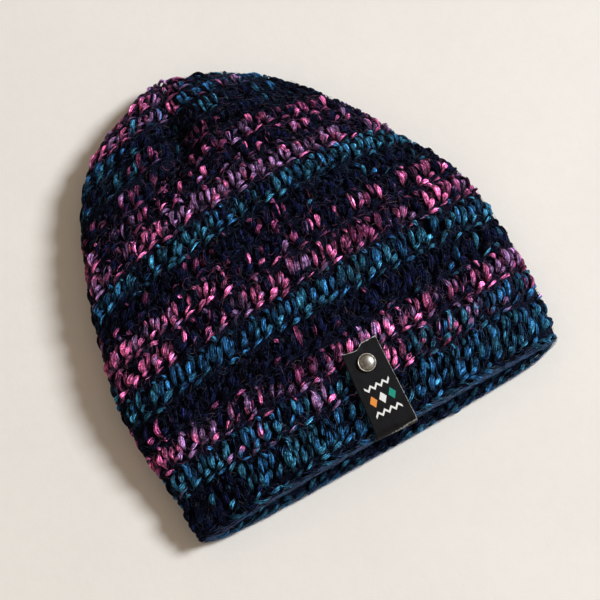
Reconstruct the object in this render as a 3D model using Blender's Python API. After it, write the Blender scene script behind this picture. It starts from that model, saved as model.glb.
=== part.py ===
"""Crocheted beanie lying on its side, with a folded leather tag held by a rivet.

Metres, +Z up. The hat lies on the plane Z = 0 with its crown towards +Y and its
opening towards -Y, and the origin is the centre of the footprint. The crochet
shell is one piece, worked in rounds from the crown down to the rim. Its form is
read from a table of sections, one row for every second round or so, and each
round swells a little between two grooves. The tag is one strip of leather folded
over the rim, and the rivet goes through both of its leaves and the wall.
"""
import math

import bmesh
import bpy
import numpy as np
from mathutils import Matrix, Vector

MM = 0.001

# Place of the rim line and of the hat's middle line in the frame
RIM_Y = -119.9 * MM
MIDDLE_X = -1.8 * MM

# Crochet shell
WALL = 5.0 * MM            # thickness of the crochet between its grooves
RIB = 1.3 * MM             # how far a round swells beyond its grooves
RIB_POWER = 0.7            # below 1, a rib is broad and its grooves are narrow
RIB_FADE = 0.25            # ribs fade out where the surface turns down this close to flat
ROUNDS = 17                # rounds from the rim to the crown's centre
RINGS_PER_ROUND = 4
INNER_STEP = 2             # rounds between two rings of the inner surface
AROUND = 48                # points round the shell
FINE = 480                 # points round a section before they are spread
INNER_TIP_DROP = 1.0 * MM  # the cavity's tip lies this much lower than the crown's
RIM_ROUNDING = 1.5 * MM    # how far the rim's edge bulges past its corners
FOLD_DETAIL = 14.0 * MM    # length that one radian of bend counts for, when points are spread
FLOOR_REACH = 0.60         # sine of the angle at which the section meets the floor
FOLD_ROOM = 0.5            # room between the layers in a fold, in walls
CLOSING_ROUND = 9          # from here on the inner surface keeps off the crown's end too
ARCH_POWER = 0.85          # below 1, the arch is fuller than an ellipse
ROUND_POWER = 1.3          # how a round runs from the side fold to the middle
LOWER_LAYER = 7.0 * MM     # how far the lower layer's rim lies past the upper one

# The sections, in millimetres: a round, how far from the rim it lies at the left
# fold, on the middle line and at the right fold, where the two folds are, the
# height of the arch and the height of the folds' outermost line
SECTION_COLUMNS = ("round", "y_left", "y_middle", "y_right", "x_left", "x_right", "height", "fold")
SECTIONS = (
    (0, 0.5, 0.5, 1.5, -112.5, 113.5, 24.0, 11.0),
    (1, 21.0, 22.0, 24.0, -115.0, 118.0, 28.5, 12.0),
    (3, 52.0, 54.0, 57.0, -117.5, 121.0, 35.0, 13.0),
    (5, 82.5, 89.0, 92.5, -116.0, 120.5, 39.5, 13.5),
    (7, 112.0, 122.5, 123.5, -110.0, 114.0, 41.0, 13.5),
    (9, 140.0, 153.5, 150.0, -103.0, 101.0, 40.0, 13.0),
    (11, 169.0, 182.0, 177.0, -92.5, 86.5, 37.0, 12.5),
    (13, 199.0, 208.5, 203.0, -79.0, 70.5, 31.5, 12.0),
    (15, 226.0, 231.5, 226.5, -55.5, 44.0, 24.0, 11.0),
    (16, 238.0, 241.0, 236.5, -33.0, 24.0, 19.0, 10.5),
    (17, 247.5, 247.5, 247.5, -1.0, -1.0, 11.0, 11.0),
)

# Dents of the soft crown and side, in millimetres: the middle, how deep the arch
# sinks, how far it is drawn back towards the rim, the half sizes, and how many
# millimetres the dent's line moves to the right for each one towards the crown
DENT_COLUMNS = ("x", "y", "depth", "pull", "half_width", "half_length", "lean")
DENTS = (
    (-11.0, 212.0, 6.5, 1.5, 13.0, 28.0, 0.15),
    (-36.0, 179.0, 3.6, 0.0, 24.0, 13.0, 0.60),
    (13.0, 246.0, 0.0, 1.8, 10.0, 12.0, 0.00),
    (58.0, 198.0, 2.4, 0.0, 12.0, 30.0, -0.55),
    (-52.0, 148.0, 1.8, 0.0, 26.0, 40.0, 0.10),
    (70.0, 84.0, 1.5, 0.0, 30.0, 34.0, 0.00),
    (-70.0, 28.0, 1.0, 0.0, 30.0, 24.0, 0.00),
)
DENT_LOW = 6.0 * MM        # nothing below this height sinks
DENT_FULL = 12.0 * MM      # and all above this one does

# Leather tag, folded over the upper layer's rim
LEATHER = 1.5 * MM
TAG_FOLD_X = 7.3 * MM      # middle of the tag at its fold
TAG_LEAN = 0.077           # how far it leans to the right along the hat
TAG_FOLD_WIDTH = 24.3 * MM
TAG_END_WIDTH = 21.5 * MM
TAG_END_Y = 44.5 * MM      # front leaf's upper end, from the rim line
TAG_BACK_Y = 42.0 * MM     # back leaf's end
TAG_FOLD_Y = -4.4 * MM     # outermost point of the fold
TAG_FOLD_TILT = -0.07      # the fold isn't quite along the rim
TAG_ROUNDS = 4             # the tag lies on this many rounds
TAG_LINE_POINTS = 40       # points read from the crochet under it
TAG_LEAF_STEPS = 12
TAG_FOLD_STEPS = 10
TAG_ACROSS = 8
TAG_STAND_OFF = 0.6 * MM   # how far the stiff leaves lie off the bumpy crochet
TAG_EDGE = 2.0 * MM        # end of the stretch near the rim that sets the tag's slope

# The front leaf's hand-cut end: where across the tag each wave lies, from -0.5 to
# 0.5, its half width in the same measure, and how far it moves the end, in millimetres
WAVE_COLUMNS = ("at", "half_width", "move")
WAVES = (
    (-0.25, 0.17, -2.2),
    (0.14, 0.15, 0.7),
)

# Rivet
RIVET_Y = 34.1 * MM
RIVET_DIAMETER = 10.2 * MM
RIVET_HEIGHT = 2.4 * MM
POST_DIAMETER = 4.0 * MM
HEAD_DIAMETER = 9.0 * MM
HEAD_HEIGHT = 0.8 * MM
DRILL_OVERRUN = 4.0 * MM   # the hole's cutter runs on past both leaves
ROUND_SIDES = 20

# The cap's profile, from its rolled rim to its domed middle: shares of its radius
# and of its height
CAP_PROFILE = (
    (0.94, 0.00), (1.00, 0.19), (0.98, 0.43), (0.90, 0.54),
    (0.82, 0.50), (0.62, 0.80), (0.32, 0.96), (0.00, 1.00),
)

GAP = 0.3 * MM             # clearance between two pieces
WELD = 0.001 * MM          # points closer than this are one


def table(columns, rows, unscaled=()):
    """The rows of a table as one array for each named column, lengths in metres."""
    numbers = dict(zip(columns, np.array(rows, float).T))
    return {name: column if name in unscaled else column * MM for name, column in numbers.items()}


def smooth(positions, values, at):
    """A curve through the values with no overshoot, by cubic pieces whose slopes
    are the harmonic means of the straight slopes on either side."""
    step = np.diff(positions)
    slope = np.diff(values) / step
    same_way = slope[:-1] * slope[1:] > 0
    first, second = 2 * step[1:] + step[:-1], step[1:] + 2 * step[:-1]
    safe_low = np.where(same_way, slope[:-1], 1)
    safe_high = np.where(same_way, slope[1:], 1)
    mean = (first + second) / (first / safe_low + second / safe_high)
    tangent = np.concatenate([slope[:1], np.where(same_way, mean, 0), slope[-1:]])
    span = np.clip(np.searchsorted(positions, at, side="right") - 1, 0, len(step) - 1)
    t = (at - positions[span]) / step[span]
    rise = 3 * t**2 - 2 * t**3
    start, end = t * (1 - t) ** 2, t**2 * (t - 1)
    return (
        values[span] * (1 - rise) + values[span + 1] * rise
        + step[span] * (start * tangent[span] + end * tangent[span + 1])
    )


SECTION = table(SECTION_COLUMNS, SECTIONS, unscaled=("round",))
DENT = table(DENT_COLUMNS, DENTS, unscaled=("lean",))
WAVE = table(WAVE_COLUMNS, WAVES, unscaled=("at", "half_width"))


def sink_dents(points):
    """Lower the arch and draw it back where a dent lies; the underside stays flat."""
    for i in range(len(DENTS)):
        y = points[..., 1] - DENT["y"][i]
        x = points[..., 0] - DENT["x"][i] - DENT["lean"][i] * y
        reach = (x / DENT["half_width"][i]) ** 2 + (y / DENT["half_length"][i]) ** 2
        share = np.exp(-reach) * np.clip((points[..., 2] - DENT_LOW) / (DENT_FULL - DENT_LOW), 0, 1)
        points[..., 1] -= DENT["pull"][i] * share
        points[..., 2] -= DENT["depth"][i] * share
    return points


def section(round_number, count, inset=0.0):
    """Points round one section, from the right fold over the arch.

    The arch is x = w cos a, z = fold + (height - fold) sin(a)^p, and below the
    folds the section turns under and lies flat on the floor. The points are spread
    by distance, and closer together where the section bends. With an inset the
    section is that much smaller on all sides, and near the crown also nearer to
    the rim.
    """
    size = {name: smooth(SECTION["round"], SECTION[name], round_number) for name in SECTION_COLUMNS[1:]}
    size["x_left"] += inset
    size["x_right"] -= inset
    size["height"] -= inset
    size["fold"] = max(size["fold"], inset + inset * FOLD_ROOM)
    closing = inset * np.clip((round_number - CLOSING_ROUND) / (ROUNDS - 1 - CLOSING_ROUND), 0, 1)
    angle = np.linspace(0, 2 * math.pi, FINE + 1)
    across, up = np.cos(angle), np.sin(angle)
    rise = np.abs(up)
    over = angle <= math.pi
    half = (size["x_right"] - size["x_left"]) / 2
    x = (size["x_right"] + size["x_left"]) / 2 + half * across
    turn = np.sin(math.pi / 2 * np.minimum(1, rise / FLOOR_REACH))
    arch = size["fold"] + (size["height"] - size["fold"]) * rise**ARCH_POWER
    z = np.where(over, arch, inset + (size["fold"] - inset) * (1 - turn))
    side = (size["y_left"] + size["y_right"]) / 2
    lower = side - LOWER_LAYER * (1 - round_number / ROUNDS)
    middle = np.where(over, size["y_middle"], lower)
    y = side + (size["y_right"] - size["y_left"]) / 2 * across + (middle - side) * rise**ROUND_POWER
    loop = np.stack([x, y - closing, z], axis=1)
    steps = np.diff(loop, axis=0)
    heading = np.unwrap(np.arctan2(steps[:, 2], steps[:, 0]))
    bend = np.abs(heading - np.roll(heading, 1))
    bend[0] = abs(heading[0] + 2 * math.pi - heading[-1])
    spread = np.cumsum(np.linalg.norm(steps, axis=1) + FOLD_DETAIL * bend)
    spread = np.concatenate([[0], spread])
    marks = np.linspace(0, spread[-1], count, endpoint=False)
    return np.stack([np.interp(marks, spread, loop[:, i]) for i in range(3)], axis=1)


def base_surface(rounds):
    """The shell's outer surface without its ribs, one ring for each given round,
    and its outward normals."""
    rings = sink_dents(np.stack([section(r, AROUND) for r in rounds]))
    around = np.roll(rings, -1, axis=1) - np.roll(rings, 1, axis=1)
    along = np.gradient(rings, axis=0)
    normals = np.cross(along, around)
    normals /= np.linalg.norm(normals, axis=2, keepdims=True)
    return rings, normals


def swell(rounds):
    """How far each ring stands out: nothing in the grooves, the full rib between."""
    return RIB * np.abs(np.sin(np.pi * rounds)) ** RIB_POWER


def outer_rings():
    """Rings of the ribbed outer surface; the ribs fade out where the hat lies flat."""
    rounds = np.arange(ROUNDS * RINGS_PER_ROUND) / RINGS_PER_ROUND
    rings, normals = base_surface(rounds)
    fade = np.clip((normals[..., 2:] + 1) / RIB_FADE, 0, 1)
    rings += normals * fade * swell(rounds)[:, None, None]
    rings[..., 2] = np.maximum(rings[..., 2], 0)
    return rings


def inner_rings():
    """Rings of the plain inner surface, one wall's thickness inside the outer one."""
    rounds = np.arange(0, ROUNDS, INNER_STEP)
    return sink_dents(np.stack([section(r, AROUND, WALL) for r in rounds]))


def upper_line(x, rounds):
    """Distances from the rim and heights of the arch's upper side at one x, where
    the given rounds cross it, without the ribs."""
    line = []
    for r in rounds:
        loop = sink_dents(section(r, FINE))
        arch = loop[: FINE // 2]
        arch = arch[np.argsort(arch[:, 0])]
        line.append([np.interp(x, arch[:, 0], arch[:, i]) for i in (1, 2)])
    return np.array(line)


def placed(points):
    """Points of the hat, measured from the rim line, in the object's frame."""
    return np.asarray(points, float) + np.array([MIDDLE_X, RIM_Y, 0])


def material(name, colour, roughness, metallic=0.0):
    """A plain finish of its own for one piece."""
    finish = bpy.data.materials.new(name)
    finish.use_nodes = True
    shader = finish.node_tree.nodes["Principled BSDF"]
    shader.inputs["Base Color"].default_value = (*colour, 1)
    shader.inputs["Roughness"].default_value = roughness
    shader.inputs["Metallic"].default_value = metallic
    return finish


def piece(name, bm, finish, sharp_degrees=40):
    """A named object from a bmesh: faces outward, round parts shaded smooth."""
    bmesh.ops.remove_doubles(bm, verts=bm.verts, dist=WELD)
    bmesh.ops.recalc_face_normals(bm, faces=bm.faces)
    mesh = bpy.data.meshes.new(name)
    bm.to_mesh(mesh)
    bm.free()
    mesh.materials.append(finish)
    mesh.shade_smooth()
    mesh.set_sharp_from_angle(angle=math.radians(sharp_degrees))
    obj = bpy.data.objects.new(name, mesh)
    bpy.context.scene.collection.objects.link(obj)
    return obj


def skin(bm, rings):
    """Bridge each closed loop to the next; gives the vertices of the first and last."""
    loops = [[bm.verts.new(point) for point in ring] for ring in rings]
    for first, second in zip(loops, loops[1:]):
        for i in range(len(first)):
            j = (i + 1) % len(first)
            bm.faces.new((first[i], first[j], second[j], second[i]))
    return loops[0], loops[-1]


def close_with_point(bm, loop, point):
    """A fan of faces from a loop to one point."""
    tip = bm.verts.new(point)
    for a, b in zip(loop, loop[1:] + loop[:1]):
        bm.faces.new((a, b, tip))


def crochet_body():
    """The shell: ribbed outside, rounded rim, plain inside, closed at the crown."""
    outer, inner = outer_rings(), inner_rings()
    edge = (outer[0] + inner[0]) / 2 - np.array([0, RIM_ROUNDING, 0])
    crown = sink_dents(section(ROUNDS, AROUND)).mean(axis=0)
    bm = bmesh.new()
    rings = [*inner[::-1], edge, *outer]
    inner_end, outer_end = skin(bm, [placed(ring) for ring in rings])
    close_with_point(bm, outer_end, placed(crown))
    close_with_point(bm, inner_end, placed(crown - np.array([0, WALL, INNER_TIP_DROP])))
    return piece("crochet_body", bm, material("yarn", (0.05, 0.06, 0.12), 0.9), 60)


def tag_path():
    """The tag's middle surface seen from the side, from the back leaf's end round
    the fold to the front leaf's end: distances from the rim, heights and normals."""
    line = upper_line(TAG_FOLD_X, np.linspace(0, TAG_ROUNDS, TAG_LINE_POINTS))
    edge = np.interp(line[0, 0] + TAG_EDGE, line[:, 0], line[:, 1])
    slope = math.atan2(edge - line[0, 1], TAG_EDGE)
    front_lift = RIB + TAG_STAND_OFF + LEATHER / 2
    back_drop = (WALL + TAG_STAND_OFF + LEATHER / 2) / math.cos(slope)
    radius = (front_lift + back_drop) / 2
    centre_y = TAG_FOLD_Y + radius + LEATHER / 2
    start = centre_y - radius * math.sin(slope)
    front_y = np.linspace(start, TAG_END_Y, TAG_LEAF_STEPS + 1)
    back_y = np.linspace(TAG_BACK_Y, centre_y + radius * math.sin(slope), TAG_LEAF_STEPS + 1)
    front_z = np.interp(front_y, line[:, 0], line[:, 1]) + front_lift
    back_z = np.interp(back_y, line[:, 0], line[:, 1]) - back_drop
    centre_z = (front_z[0] + back_z[-1]) / 2
    turn = np.linspace(270, 90, TAG_FOLD_STEPS + 1)[1:-1] * math.pi / 180 + slope
    bend = np.stack([centre_y + radius * np.cos(turn), centre_z + radius * np.sin(turn)], axis=1)
    path = np.concatenate([np.stack([back_y, back_z], axis=1), bend, np.stack([front_y, front_z], axis=1)])
    along = np.gradient(path, axis=0)
    along /= np.linalg.norm(along, axis=1, keepdims=True)
    outward = np.stack([-along[:, 1], along[:, 0]], axis=1)
    return path, outward


def leather_tag():
    """One strip of leather, folded over the rim, a little narrower at its ends."""
    path, outward = tag_path()
    share = np.clip((path[:, 0] - TAG_FOLD_Y) / (TAG_END_Y - TAG_FOLD_Y), 0, 1)
    width = TAG_FOLD_WIDTH + (TAG_END_WIDTH - TAG_FOLD_WIDTH) * share
    middle = TAG_FOLD_X + TAG_LEAN * (path[:, 0] - TAG_FOLD_Y)
    across = np.linspace(-0.5, 0.5, TAG_ACROSS + 1)
    x = middle[:, None] + width[:, None] * across
    bell = np.exp(-(((across[:, None] - WAVE["at"]) / WAVE["half_width"]) ** 2))
    wave = (bell * WAVE["move"]).sum(axis=1)
    tilt = TAG_FOLD_TILT * ((1 - share) * width)[:, None] * across
    sides = []
    for side in (1, -1):
        level = path + outward * side * LEATHER / 2
        grid = np.stack([x, level[:, :1] + tilt, np.broadcast_to(level[:, 1:], x.shape)], axis=2)
        grid[-1, :, 1] += wave
        sides.append(grid)
    rings = [np.concatenate([top, bottom[::-1]]) for top, bottom in zip(*sides)]
    bm = bmesh.new()
    first, last = skin(bm, [placed(ring) for ring in rings])
    for end in (first, last):
        half = len(end) // 2
        for i in range(half - 1):
            bm.faces.new((end[i], end[i + 1], end[-2 - i], end[-1 - i]))
    return piece("leather_tag", bm, material("leather", (0.018, 0.018, 0.02), 0.55), 50)


def rivet_place():
    """Where the rivet's axis leaves the front leaf's outer face, the axis, and the
    distances from there to the back leaf's inner face."""
    path, outward = tag_path()
    front = len(path) - TAG_LEAF_STEPS - 1
    y, z = path[front:, 0], path[front:, 1]
    height = np.interp(RIVET_Y, y, z)
    slope = np.interp(RIVET_Y, y[1:], np.diff(z) / np.diff(y))
    axis = np.array([0, -slope, 1]) / math.hypot(1, slope)
    x = TAG_FOLD_X + TAG_LEAN * (RIVET_Y - TAG_FOLD_Y)
    top = np.array([x, RIVET_Y, height]) + axis * LEATHER / 2
    back = path[: TAG_LEAF_STEPS + 1][::-1]
    depths = np.linspace(0, 4 * WALL, FINE)
    probe = top[1:] - depths[:, None] * axis[1:]
    below = probe[:, 1] < np.interp(probe[:, 0], back[:, 0], back[:, 1])
    depth = depths[np.argmax(below)] + LEATHER / 2
    return placed(top), axis, depth


def turned(name, profile, finish, top, axis):
    """A solid of revolution from (radius, height) points that start and end on the
    axis, stood on a point with its axis along a direction."""
    bm = bmesh.new()
    verts = [bm.verts.new((radius, 0, height)) for radius, height in profile]
    edges = [bm.edges.new(pair) for pair in zip(verts, verts[1:])]
    bmesh.ops.spin(
        bm, geom=verts + edges, axis=(0, 0, 1), cent=(0, 0, 0),
        steps=ROUND_SIDES, angle=2 * math.pi, use_merge=True,
    )
    turn = Vector((0, 0, 1)).rotation_difference(Vector(axis)).to_matrix().to_4x4()
    bmesh.ops.transform(bm, matrix=Matrix.Translation(Vector(top)) @ turn, verts=bm.verts)
    return piece(name, bm, finish)


def rivet_cap(top, axis):
    """The domed cap with its rolled rim, just clear of the leather."""
    radius = RIVET_DIAMETER / 2
    shape = [(radius * share, GAP + RIVET_HEIGHT * rise) for share, rise in CAP_PROFILE]
    profile = [(0, GAP)] + shape
    return turned("rivet_cap", profile, material("nickel", (0.62, 0.60, 0.56), 0.3, 1.0), top, axis)


def rivet_post(top, axis, depth):
    """The shank through both leaves and the wall, with its flat head inside."""
    shank, head = POST_DIAMETER / 2, HEAD_DIAMETER / 2
    under = -depth - GAP
    profile = [
        (0, 0), (shank, 0), (shank, under), (head, under),
        (head, under - HEAD_HEIGHT), (0, under - HEAD_HEIGHT),
    ]
    return turned("rivet_post", profile, material("post", (0.5, 0.48, 0.45), 0.4, 1.0), top, axis)


def drill(target, top, axis, depth):
    """Cut the post's hole through a piece, one clearance wider than the post."""
    length = depth + 2 * DRILL_OVERRUN
    turn = Vector((0, 0, 1)).rotation_difference(Vector(axis)).to_matrix().to_4x4()
    middle = Vector(top) - Vector(axis) * depth / 2
    bm = bmesh.new()
    bmesh.ops.create_cone(
        bm, cap_ends=True, segments=ROUND_SIDES, depth=length,
        radius1=POST_DIAMETER / 2 + GAP, radius2=POST_DIAMETER / 2 + GAP,
        matrix=Matrix.Translation(middle) @ turn,
    )
    mesh = bpy.data.meshes.new(f"{target.name}_drill")
    bm.to_mesh(mesh)
    bm.free()
    cutter = bpy.data.objects.new(mesh.name, mesh)
    cutter.hide_render = True
    cutter.display_type = "WIRE"
    bpy.context.scene.collection.objects.link(cutter)
    cut = target.modifiers.new("post hole", "BOOLEAN")
    cut.operation = "DIFFERENCE"
    cut.object = cutter


def main():
    for obj in list(bpy.data.objects):
        bpy.data.objects.remove(obj, do_unlink=True)
    body, tag = crochet_body(), leather_tag()
    top, axis, depth = rivet_place()
    for target in (body, tag):
        drill(target, top, axis, depth)
    rivet_cap(top, axis)
    rivet_post(top, axis, depth)


main()
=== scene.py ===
"""A crocheted beanie lying on a pale floor, with a leather tag folded over its rim.

Laid out as an add-on and run as a script. Lengths are in metres, in the frame of the
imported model: +Z up, +Y from the opening to the crown, the floor at Z = 0. Every new
piece is a surface worked out as whole arrays. Yarn is laid in stitch coordinates:
a round counted from the rim, and a share of the way round the hat.
"""
import math

import bpy
import numpy as np
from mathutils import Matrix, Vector


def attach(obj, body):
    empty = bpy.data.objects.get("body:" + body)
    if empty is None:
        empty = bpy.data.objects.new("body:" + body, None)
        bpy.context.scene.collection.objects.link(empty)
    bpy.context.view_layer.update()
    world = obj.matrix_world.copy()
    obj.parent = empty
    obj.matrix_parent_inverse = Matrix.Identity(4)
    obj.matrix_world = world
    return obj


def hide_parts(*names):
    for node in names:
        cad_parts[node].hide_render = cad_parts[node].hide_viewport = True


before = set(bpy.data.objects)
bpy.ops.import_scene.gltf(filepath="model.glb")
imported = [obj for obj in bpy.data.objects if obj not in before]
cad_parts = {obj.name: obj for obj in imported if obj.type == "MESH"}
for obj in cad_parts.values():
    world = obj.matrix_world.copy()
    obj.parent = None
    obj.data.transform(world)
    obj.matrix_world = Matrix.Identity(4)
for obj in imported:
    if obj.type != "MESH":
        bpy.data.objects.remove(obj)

bl_info = {
    "name": "Crocheted Beanie",
    "version": (1, 0, 0),
    "blender": (4, 5, 0),
    "location": "3D View > Sidebar > Beanie",
    "description": "Builds a crocheted beanie with a riveted leather tag",
    "category": "Add Mesh",
}

MM = 0.001

# The crochet shell's form, as the solid has it: see hat_sections
RIM_Y = -119.9 * MM          # tables give y from here
MIDDLE_X = -1.8 * MM         # and x from here
WALL = 5.0 * MM
ROUNDS = 17
FLOOR_REACH = 0.60           # below the folds the section lies flat from this sine on
FOLD_ROOM = 0.5              # an inset section's folds are this much higher than its inset
CLOSING_ROUND = 9            # from here on an inset draws the crown's end back too
ARCH_POWER = 0.85            # how full the arch is
ROUND_POWER = 1.3            # how a round bows towards its middle
LOWER_LAYER = 7.0 * MM       # how far the lower layer reaches out past the sides at the rim
LOWER_TRIM = 1.3 * MM        # how much less the scene's lower layer reaches out
SECTION_COLUMNS = ("round", "y_left", "y_middle", "y_right", "x_left", "x_right", "height", "fold")
SECTIONS = (
    (0, 0.5, 0.5, 1.5, -112.5, 113.5, 24.0, 11.0),
    (1, 21.0, 22.0, 24.0, -115.0, 118.0, 28.5, 12.0),
    (3, 52.0, 54.0, 57.0, -117.5, 121.0, 35.0, 13.0),
    (5, 82.5, 89.0, 92.5, -116.0, 120.5, 39.5, 13.5),
    (7, 112.0, 122.5, 123.5, -110.0, 114.0, 41.0, 13.5),
    (9, 140.0, 153.5, 150.0, -103.0, 101.0, 40.0, 13.0),
    (11, 169.0, 182.0, 177.0, -92.5, 86.5, 37.0, 12.5),
    (13, 199.0, 208.5, 203.0, -79.0, 70.5, 31.5, 12.0),
    (15, 226.0, 231.5, 226.5, -55.5, 44.0, 24.0, 11.0),
    (16, 238.0, 241.0, 236.5, -33.0, 24.0, 19.0, 10.5),
    (17, 247.5, 247.5, 247.5, -1.0, -1.0, 11.0, 11.0),
)
DENT_COLUMNS = ("x", "y", "depth", "pull", "half_width", "half_length", "lean")
DENTS = (
    (-11.0, 212.0, 6.5, 1.5, 13.0, 28.0, 0.15),
    (-36.0, 179.0, 3.6, 0.0, 24.0, 13.0, 0.60),
    (13.0, 246.0, 0.0, 1.8, 10.0, 12.0, 0.00),
    (58.0, 198.0, 2.4, 0.0, 12.0, 30.0, -0.55),
    (-52.0, 148.0, 1.8, 0.0, 26.0, 40.0, 0.10),
    (70.0, 84.0, 1.5, 0.0, 30.0, 34.0, 0.00),
    (-70.0, 28.0, 1.0, 0.0, 30.0, 24.0, 0.00),
)
DENT_LOW = 6.0 * MM          # over the floor, where dents and the crease begin
DENT_FULL = 12.0 * MM        # and where they are as deep as their tables say

# A sharp crease in the crown, where the yarn sinks and its colour is painted darker
# as the shade there: its course over the arch, and how deep it is there
CREASE_COLUMNS = ("x", "y", "depth")
CREASE = (
    (-5.0, 238.0, 1.0),
    (-12.0, 214.0, 4.0),
    (-13.0, 194.0, 4.5),
    (-24.0, 184.0, 4.0),
    (-36.0, 179.0, 3.0),
    (-52.0, 175.0, 0.5),
)
CREASE_HALF_WIDTH = 6.0 * MM
CREASE_SHADE = 0.85           # painted shade: how much of the yarn's colour is taken away where the crease is deepest

# Where the scene's outline is moved a little: x, y, how far along each and the reach
PUSHES = (
    (0.0, 240.0, -0.6, 2.5, 27.0),
    (-40.0, 237.0, 0.8, -2.0, 15.0),
    (66.0, 194.0, -1.8, -2.0, 28.0),
    (102.0, 144.0, -2.0, -1.0, 26.0),
    (-106.0, 28.0, 3.0, 0.6, 28.0),
    (-108.0, 2.0, -1.6, -0.6, 12.0),
)

# How finely the shell's form is worked out
RING_STEP = 1 / 8
RING_POINTS = 480
INSIDE = 0.001               # how far inside the last span a place is kept

# How far down the shell's normal points where it begins to face the floor, and where
# it does so fully
DOWN_FROM = 0.2
DOWN_FULL = 0.9

# The tag, as the solid has it
LEATHER = 1.5 * MM
TAG_FOLD_X = 7.3 * MM
TAG_LEAN = 0.077
TAG_FOLD_WIDTH = 24.3 * MM
TAG_END_WIDTH = 21.5 * MM
TAG_END_Y = 44.5 * MM
TAG_BACK_Y = 42.0 * MM
TAG_FOLD_Y = -4.4 * MM
TAG_FOLD_TILT = -0.07
TAG_ROUNDS = 4
RIB = 1.3 * MM
TAG_STAND_OFF = 0.6 * MM
TAG_EDGE = 2.0 * MM

# The rivet, as the solid has it, with more points round its rolled rim
RIVET_Y = 34.1 * MM
RIVET_DIAMETER = 10.2 * MM
RIVET_HEIGHT = 2.4 * MM
GAP = 0.3 * MM
CAP_PROFILE = (
    (0.93, 0.00), (0.965, 0.03), (0.99, 0.12), (1.00, 0.25), (0.99, 0.38), (0.965, 0.48),
    (0.93, 0.53), (0.895, 0.50), (0.865, 0.43), (0.84, 0.42), (0.81, 0.50), (0.74, 0.64),
    (0.62, 0.78), (0.48, 0.88), (0.32, 0.95), (0.16, 0.99), (0.00, 1.00),
)
# How bright each of its rings is painted: the dome darker as a painted dim reflection, darker still in the
# groove and at its foot, the rolled rim at the nickel's full tone
CAP_PAINTED_TONES = (0.2, 0.3, 0.6, 1, 1, 1, 1, 0.9, 0.25, 0.15, 0.4, 0.7, 0.62, 0.5, 0.42, 0.36, 0.34)
ROUND_SIDES = 64

# One stitch, from its bottom seam to the next round's. Each strand runs from one place
# to another: across in stitch widths, up in rounds. Then its bow to the side in stitch
# widths, its half width and half height, how high its ends and its middle lie over the
# shell, in millimetres, how strong its colour is, and how many slivers of wool lie on
# it and how many fibres stand off it
STRAND_COLUMNS = (
    "across_from", "up_from", "across_to", "up_to", "bow",
    "half_width", "half_height", "end", "crest", "strength", "slivers", "fuzz",
)
STITCH = (
    (-0.24, 0.25, 0.13, 0.87, -0.07, 1.38, 1.30, -2.1, 1.05, 1.00, 8, 7),
    (0.22, 0.33, 0.47, 0.85, 0.05, 1.10, 1.00, -2.1, 0.20, 0.70, 4, 4),
    (-0.18, 0.16, 0.46, 0.42, -0.06, 1.15, 1.05, -1.5, 0.95, 1.00, 6, 5),
    (-0.46, 0.02, 0.44, 0.15, 0.02, 0.85, 0.85, -0.9, 0.95, 0.90, 3, 2),
    (-0.02, 0.00, 0.26, -0.20, 0.02, 1.00, 0.90, -1.6, 0.60, 0.75, 3, 2),
)
POSTS = 2                    # how many of the first rows are posts
TAIL = 4                     # the strand that runs down under the seam, not in the first round

# The first round is taller: its posts stand in two tiers, each from one height to
# another in rounds, and have a share of their strength
FIRST_TIERS = ((0.18, 0.58), (0.50, 0.93))
FIRST_STRENGTH = 0.72

# From this round on there is no tail and the strands have a share of their thickness.
# Those that reach high are longer, below and above, and the others have a share of
# their strength
CROWN_ROUND = 12
CROWN_THICKNESS = 0.74
CROWN_HIGH = 0.5
CROWN_LONGER = (0.10, 0.08)
CROWN_STRENGTH = 0.55


def table(columns, rows, unscaled=()):
    """The rows of a table as one array for each named column, lengths in metres."""
    numbers = dict(zip(columns, np.array(rows, float).T))
    return {name: column if name in unscaled else column * MM for name, column in numbers.items()}


def first_rows(numbers, count):
    """The first rows of a table's arrays, each as a dictionary of its columns."""
    return [{name: column[i] for name, column in numbers.items()} for i in range(count)]


def smooth(positions, values, at):
    """A curve through the values with no overshoot: cubic spans whose slopes are the
    harmonic means of the straight slopes on either side."""
    step = np.diff(positions)
    slope = np.diff(values) / step
    same_way = slope[:-1] * slope[1:] > 0
    first, second = 2 * step[1:] + step[:-1], step[1:] + 2 * step[:-1]
    safe_low = np.where(same_way, slope[:-1], 1)
    safe_high = np.where(same_way, slope[1:], 1)
    mean = (first + second) / (first / safe_low + second / safe_high)
    tangent = np.concatenate([slope[:1], np.where(same_way, mean, 0), slope[-1:]])
    span = np.clip(np.searchsorted(positions, at, side="right") - 1, 0, len(step) - 1)
    t = (at - positions[span]) / step[span]
    rise = 3 * t**2 - 2 * t**3
    start, end = t * (1 - t) ** 2, t**2 * (t - 1)
    return (
        values[span] * (1 - rise) + values[span + 1] * rise
        + step[span] * (start * tangent[span] + end * tangent[span + 1])
    )


SECTION = table(SECTION_COLUMNS, SECTIONS, unscaled=("round",))
DENT = table(DENT_COLUMNS, DENTS, unscaled=("lean",))
CREASE_LINE = table(CREASE_COLUMNS, CREASE)
STRAND = table(
    STRAND_COLUMNS, STITCH,
    unscaled=("across_from", "up_from", "across_to", "up_to", "bow", "strength", "slivers", "fuzz"),
)


def smooth_step(values, low, high):
    """0 at low, 1 at high, and between them t^2 (3 - 2 t)."""
    t = np.clip((values - low) / (high - low), 0, 1)
    return t**2 * (3 - 2 * t)


def push_outline(points):
    """Points are moved sideways by a bell curve of their distance from each push."""
    for x, y, across, up, reach in np.array(PUSHES) * MM:
        away = ((points[..., 0] - x) ** 2 + (points[..., 1] - y) ** 2) / reach**2
        points[..., :2] += np.exp(-away)[..., None] * [across, up]
    return points


def on_arch(points):
    """0 low down on the hat, 1 over its folds, even in between."""
    return np.clip((points[..., 2] - DENT_LOW) / (DENT_FULL - DENT_LOW), 0, 1)


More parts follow.
